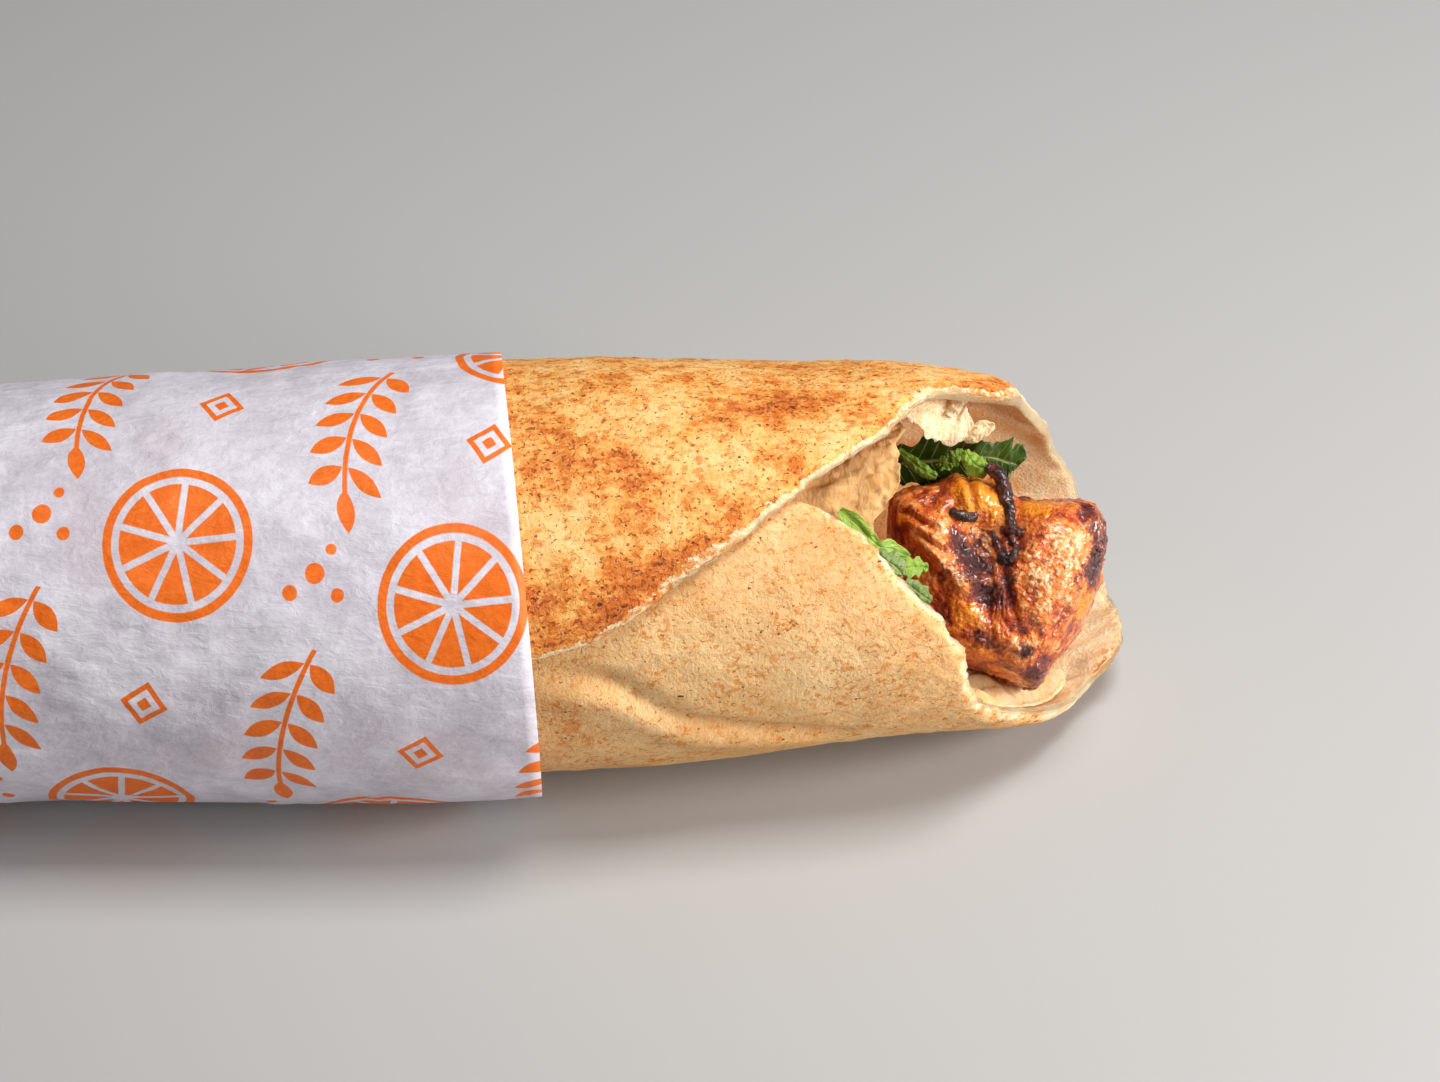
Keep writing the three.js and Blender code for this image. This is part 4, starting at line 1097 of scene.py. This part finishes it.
def chicken_piece(columns=300, front_rows=150, back_rows=46):
    v = np.concatenate([np.linspace(0.004, 0.5, front_rows), np.linspace(0.5, 0.996, back_rows + 1)[1:]])
    v = v[:, None]
    turn = np.linspace(0, 360, columns, endpoint=False)[None, :]
    spread = np.sin(np.pi * v) ** 0.75
    facing = np.cos(np.pi * v)
    around = turn * DEG
    radius = chunk_radius(np.where(turn > 346, turn - 360, turn)) * (1 + 0.015 * np.sin(7 * around + 9 * v))
    x, y = spread * radius * np.cos(around), spread * radius * np.sin(around)
    front = np.maximum(facing, 0) ** 0.7
    z = np.where(facing > 0, chunk_front(x, y) * front, -10 * np.maximum(-facing, 0) ** 0.8)
    points = flat_of(x, y, z)

    # what is burnt and what is fatty, and the relief that goes with it
    rimmed = 0.5 * smooth(v, 0.34, 0.48) * np.clip(0.6 + lumps(points, 3, 2, 71), 0, 1)
    burnt = spots(BURNT, x, y) * front + rimmed * (v < 0.6)
    fat = spots(FAT, x, y)
    knots = spots(KNOTS, x, y)
    bent = points + 1.1 * np.stack([lumps(points, 3.4, 2, seed) for seed in (64, 65, 66)], -1)
    splits = np.abs(lumps(bent * (1, 0.7, 1), 4.6, 2, 61))
    threads = np.abs(lumps(bent * (1.0, 0.6, 1), 1.2, 2, 62))
    knobs = lumps(points, 2.2, 3, 67)
    torn = smooth(lumps(points, 3.5, 2, 68), -0.2, 0.35)
    crust = np.clip(lumps(points, 0.6, 2, 63), 0, 1) * np.clip(burnt, 0, 1)
    calm = 1 - 0.55 * np.clip(fat, 0, 1)
    lift = knots + (0.6 * (splits - 0.35) + 0.16 * knobs + 0.3 * (threads - 0.35) * torn) * calm
    lift = lift + 0.7 * crust + 0.07 * lumps(points, 0.5, 2, 69)
    # painted light on the raised knots and painted shade in the splits and threads
    tone = 0.9 * (np.minimum(splits, 0.4) - 0.3) + 0.5 * knobs + 0.9 * (np.minimum(threads, 0.4) - 0.3)
    tone = np.clip(tone * calm + 0.35 * np.clip(knots, -1, 1), -0.8, 0.6)

    out = (points - np.array([0, 0, -2.0])) * (1, 1, 0.8)
    out = out / np.linalg.norm(out, axis=-1, keepdims=True)
    out = np.where(front[..., None] > 0.25, lerp(out, np.array([0, 0, 1.0]), 0.6), out)
    points = points + out * lift[..., None]
    ends = [[0, 0, points[row, :, 2].mean()] for row in (0, -1)]
    every = np.concatenate([points.reshape(-1, 3), ends])

    def with_ends(mask):
        return np.concatenate([np.broadcast_to(mask, x.shape).ravel(), [float(np.mean(mask[0])), 0.0]])

    mesh_piece("grilled_chicken", every, CHICKEN, ["chicken_piece"], "chicken", CHUNK,
               skin_faces(columns, len(v)), place=every, burnt=with_ends(burnt),
               pale=with_ends(spots(PALE_AND_HIGHLIT, x, y) * front), fat=with_ends(fat), tone=with_ends(tone))


chicken_piece()

# %% Burnt scraps
CHAR = [  # threads of skin burnt on to it: x, y, z, radius
    [[-2.4, 15.2, 6.4, 0.9], [-0.4, 14, 6.6, 1.1], [0.5, 10.8, 6.6, 1.1], [0.9, 7.5, 7.4, 0.9],
     [1, 4.7, 8.6, 0.6]],
    [[-7.4, 9.5, 8.4, 0.7], [-5.4, 8.7, 8.1, 0.9], [-3.6, 8.6, 7.2, 0.7]],
    [[-1.6, 6.8, 6.8, 0.5], [-0.9, 4.6, 8.0, 0.6], [-0.1, 2.8, 9.3, 0.8], [1, 3.2, 9.6, 0.8],
     [1.5, 4.8, 9.0, 0.6]],
    [[-0.5, 7.2, 7.4, 0.6], [1, 6.6, 8, 0.8], [2.6, 6.3, 8.5, 0.6]],
]


def burnt_scraps(columns=26, rows=70):
    points, faces = np.empty((0, 3)), []
    for number, stations in enumerate(CHAR):
        thinner = [[x, y, z, 0.85 * radius] for x, y, z, radius in stations]
        here = stick_points(thinner, columns, rows, 0.38, 70 + number)
        faces += [[len(points) + i for i in face] for face in facing_out(here, skin_faces(columns, rows))]
        points = np.concatenate([points, here])
    mesh_piece("burnt_scraps", points, CHICKEN, [], "chicken", CHUNK, faces, place=points + 20,
               burnt=1.1 + 0.3 * lumps(points, 1.2, 2, 75), pale=0, fat=0, tone=0)


burnt_scraps()

# %% [markdown]
# ## The greens
#
# The greens are herbs: small leaves and a stem that are folded, lobed and curled. Those in the shade
# are painted dark, which is painted shade, and those at the front are fresh green. Each keeps the line
# of its solid. The half width goes in and out in lobes, the middle is a groove, and veins run out from
# it.

# %% The greens
# Each has its look: fresh and shaded (0 dark, in painted shade; 1 fresh and bright), dull underside,
# depth of lobes, curl up at the sides, share of the solid's width. Then come its stations: x, y, z,
# half width, slope across.
GREENS = {
    "leaf_back_left": ((0.1, 0.0, 0.25, 0.35, 1.7), [
        [-14.1, 12.7, 1, 1.1, 0.5], [-11.5, 13.0, 1, 1.7, 0.6], [-8.7, 13.1, 0.4, 1.9, 0.6],
        [-6.0, 13.3, 0.2, 1.8, 0.7], [-3.2, 13.4, 0, 1.6, 0.6], [-1.3, 13.6, 0, 1.0, 0.5],
    ]),
    "stem_back": ((0.55, 0.1, 0.1, -0.5, 1.1), [
        [-13.7, 14.5, 6, 0.5, 0], [-12.3, 13.3, 6.4, 0.7, 0], [-10.9, 12.1, 7, 0.8, 0],
        [-9.7, 11.3, 7.4, 0.7, 0], [-8.7, 10.8, 7.8, 0.4, 0],
    ]),
    "leaf_back_small": ((0.6, 0.0, 0.2, 0.2, 1.3), [
        [-8.2, 12.0, 4.6, 0.4, 0], [-7.0, 12.8, 4.8, 0.8, 0.2], [-5.8, 13.5, 5, 0.8, 0.1],
        [-4.6, 14.2, 4.6, 0.4, 0],
    ]),
    "leaf_back_drop": ((0.7, 0.0, 0.15, -0.8, 1.2), [
        [-4.7, 14.3, 7.4, 0.4, 0], [-4.3, 13.3, 8.0, 0.9, 0], [-3.6, 12.3, 8.6, 1.3, 0],
        [-2.6, 11.8, 8.8, 1.1, 0], [-1.7, 11.7, 8.8, 0.6, 0],
    ]),
    "leaf_back_right": ((0.2, 0.0, 0.3, 0.3, 1.4), [
        [-3.2, 12.6, 3.2, 0.6, 0], [-1.8, 13.4, 2.8, 1.1, 0.3], [0, 13.2, 2.2, 1.7, 0.3],
        [1.4, 12.7, 2.2, 2.1, 0.2], [2.5, 12.4, 2.4, 1.5, 0], [2.9, 12.0, 2.4, 0.7, 0],
    ]),
    "leaf_front_stalk": ((0.74, 0.1, 0.2, 0.5, 1.3), [
        [-22.8, 6.6, 22.5, 0.5, 0], [-21.6, 5.5, 22.5, 0.8, 0], [-20.5, 4.5, 22.5, 0.9, 0],
        [-19.5, 3.3, 22.5, 0.8, 0], [-18.5, 2.4, 22.2, 0.6, 0], [-17.6, 1.7, 21.4, 0.6, 0],
        [-16.4, 1.5, 20.8, 0.8, -0.2], [-15.2, 1.0, 20.0, 0.8, -0.3], [-13.5, 0.2, 18.6, 0.3, 0],
    ]),
    "leaf_front_under": ((0.5, 0.8, 0.2, -0.5, 1.3), [
        [-18.2, 1.0, 22.8, 0.5, 0], [-17.2, 0.1, 22.9, 1.0, 0], [-16.1, -0.7, 22.8, 1.2, 0],
        [-15.2, -1.5, 22.6, 0.9, 0], [-14.7, -2.3, 22.4, 0.4, 0],
    ]),
    "leaf_front_tip": ((0.7, 0.1, 0.3, 0.4, 1.3), [
        [-15.3, -1.3, 20.8, 0.5, 0], [-14.1, -1.2, 20.0, 0.9, 0.2], [-13.0, -1.1, 19, 1.0, 0.2],
        [-11.9, -1.1, 18.2, 0.7, 0], [-11.0, -1.2, 17.6, 0.3, 0],
    ]),
    "leaf_front_lower": ((0.45, 0.7, 0.25, -0.3, 1.3), [
        [-14.5, -3.0, 21.8, 0.5, 0], [-13.6, -3.7, 21.5, 0.8, 0], [-12.6, -4.5, 21, 1.0, 0.1],
        [-11.6, -5.2, 20.2, 0.7, 0], [-10.9, -5.7, 19.6, 0.3, 0],
    ]),
}


def leaf_finish():
    finish = Finish("fresh leaf", Specular_IOR_Level=0.45, Subsurface_Weight=0.15,
                    Subsurface_Radius=(0.4, 0.9, 0.2), Subsurface_Scale=0.001)
    flat = finish.place("flat")
    fresh, dull = finish.masks("fresh", "dull")
    along, across = flat.part(0), flat.part(1)
    patches = flat.scaled(1.0, 1.4).noise(1.6, 3.0, 0.6)
    fine = flat.scaled(1.0, 3.0).noise(0.35, 3.0, 0.6)
    side_vein = abs(tile(along - abs(across) * 1.3, 1.3))
    veins = either((1 - side_vein.between(0.03, 0.12)) * 0.6, 1 - abs(across).between(0.02, 0.1))
    # how bright the green is: low values are painted shade, for the leaves in the dark at the back
    level = fresh + (patches - 0.5) * 0.5 + (fine - 0.5) * 0.2
    colour = level.ramp((0.0, "1f2c06"), (0.3, "3c5a10"), (0.6, "6f9526"), (0.85, "a3c24a"), (1.0, "d0dd7c"))
    colour = (dull * 0.75).mixed(colour, "8c9c62")
    colour = (veins * 0.35).mixed(colour, "b9cc70")
    height = fine * 0.3 - veins * 0.35 + patches * 0.2
    return finish.set(colour, 0.32 + (fine - 0.5) * 0.2, height, 0.25)


LEAF = leaf_finish()


def leaf_piece(number, name, columns=90, rows=24):
    (fresh, dull, lobes, curl, width), stations = GREENS[name]

    def relief(u, v):
        lobe = 0.6 * np.sin(u * 21 + number) + 0.5 * lumps(flat_of(u * 12, np.sign(v)), 1.1, 2, 80 + number)
        uneven = 0.14 * lumps(flat_of(u * 12, v * 2), 1.2, 2, 90 + number)
        groove = 0.1 * hump(v, 0, 0.16)
        widen = width * lerp(1.0, 1 + lobes * lobe, np.abs(v) ** 1.5)
        return widen, curl * (v**2 - 0.3) * 0.6 + uneven - groove

    points, uv = strip_points(stations, 0.42, columns, rows, relief)
    mesh_piece(name + "_fresh", points, LEAF, [name], "greens", MOUTH, flat=uv + (number * 13.0, 0, 0),
               fresh=fresh, dull=dull)


for number, name in enumerate(GREENS):
    leaf_piece(number, name)

# %% [markdown]
# ## The filling behind
#
# Only its front shows, in the dark behind the greens. It is the same chicken, packed into a rod, and
# its colour is darkened all over, a painted shade for the dark it lies in.

# %% The filling behind
CORE_REAR_X, CORE_FRONT_X, CORE_DEPTH = -71, 70, 7.4


def filling_core(columns=180, rows=130):
    v = np.linspace(0.01, 0.99, rows)[:, None]
    turn = np.linspace(0, 360, columns, endpoint=False)[None, :]
    swing = np.cos(np.pi * v)
    x = lerp(CORE_REAR_X, CORE_FRONT_X, 0.5 - 0.45 * swing**3 - 0.05 * swing)
    front = np.sqrt(np.maximum(0, 1 - smooth(x, 50, 76) ** 2 * 1.02))
    rear = np.sqrt(np.maximum(0, 1 - (np.maximum(0, CORE_REAR_X + 9 - x) / 9) ** 2))
    share = np.minimum(front, rear)
    knobs = 0.7 * np.sin(5 * turn * DEG + x / 4) * np.sin(x / 6)
    place = roll_point(x, -turn, -7.0)
    chunks = np.abs(lumps(place, 9, 2, 95)) + 0.3 * np.abs(lumps(place, 3, 2, 96))
    inset = -CORE_DEPTH - np.abs(knobs) + 2.6 * np.minimum(chunks, 0.6)
    points = roll_point(x, -turn, inset * share - roll_radius(x) * (1 - share))
    bulge = 3.0 * np.abs(lumps(points, 7, 2, 97)) - 1.8 + 0.5 * lumps(points, 1.6, 2, 99)
    points[..., 0] += bulge * smooth(x, 48, 62)
    every = np.concatenate([points.reshape(-1, 3), [points[0].mean(0), points[-1].mean(0)]])
    patchy = lumps(every, 5, 3, 98)
    # char patches, and a last mask of -0.15 that darkens the whole rod: painted shade
    mesh_piece("packed_chicken", every, CHICKEN, ["filling_core"], "filling", None, skin_faces(columns, rows),
               place=every, burnt=0.3 + 0.5 * patchy, pale=0.3 - 0.4 * patchy, fat=0, tone=-0.15)


filling_core()
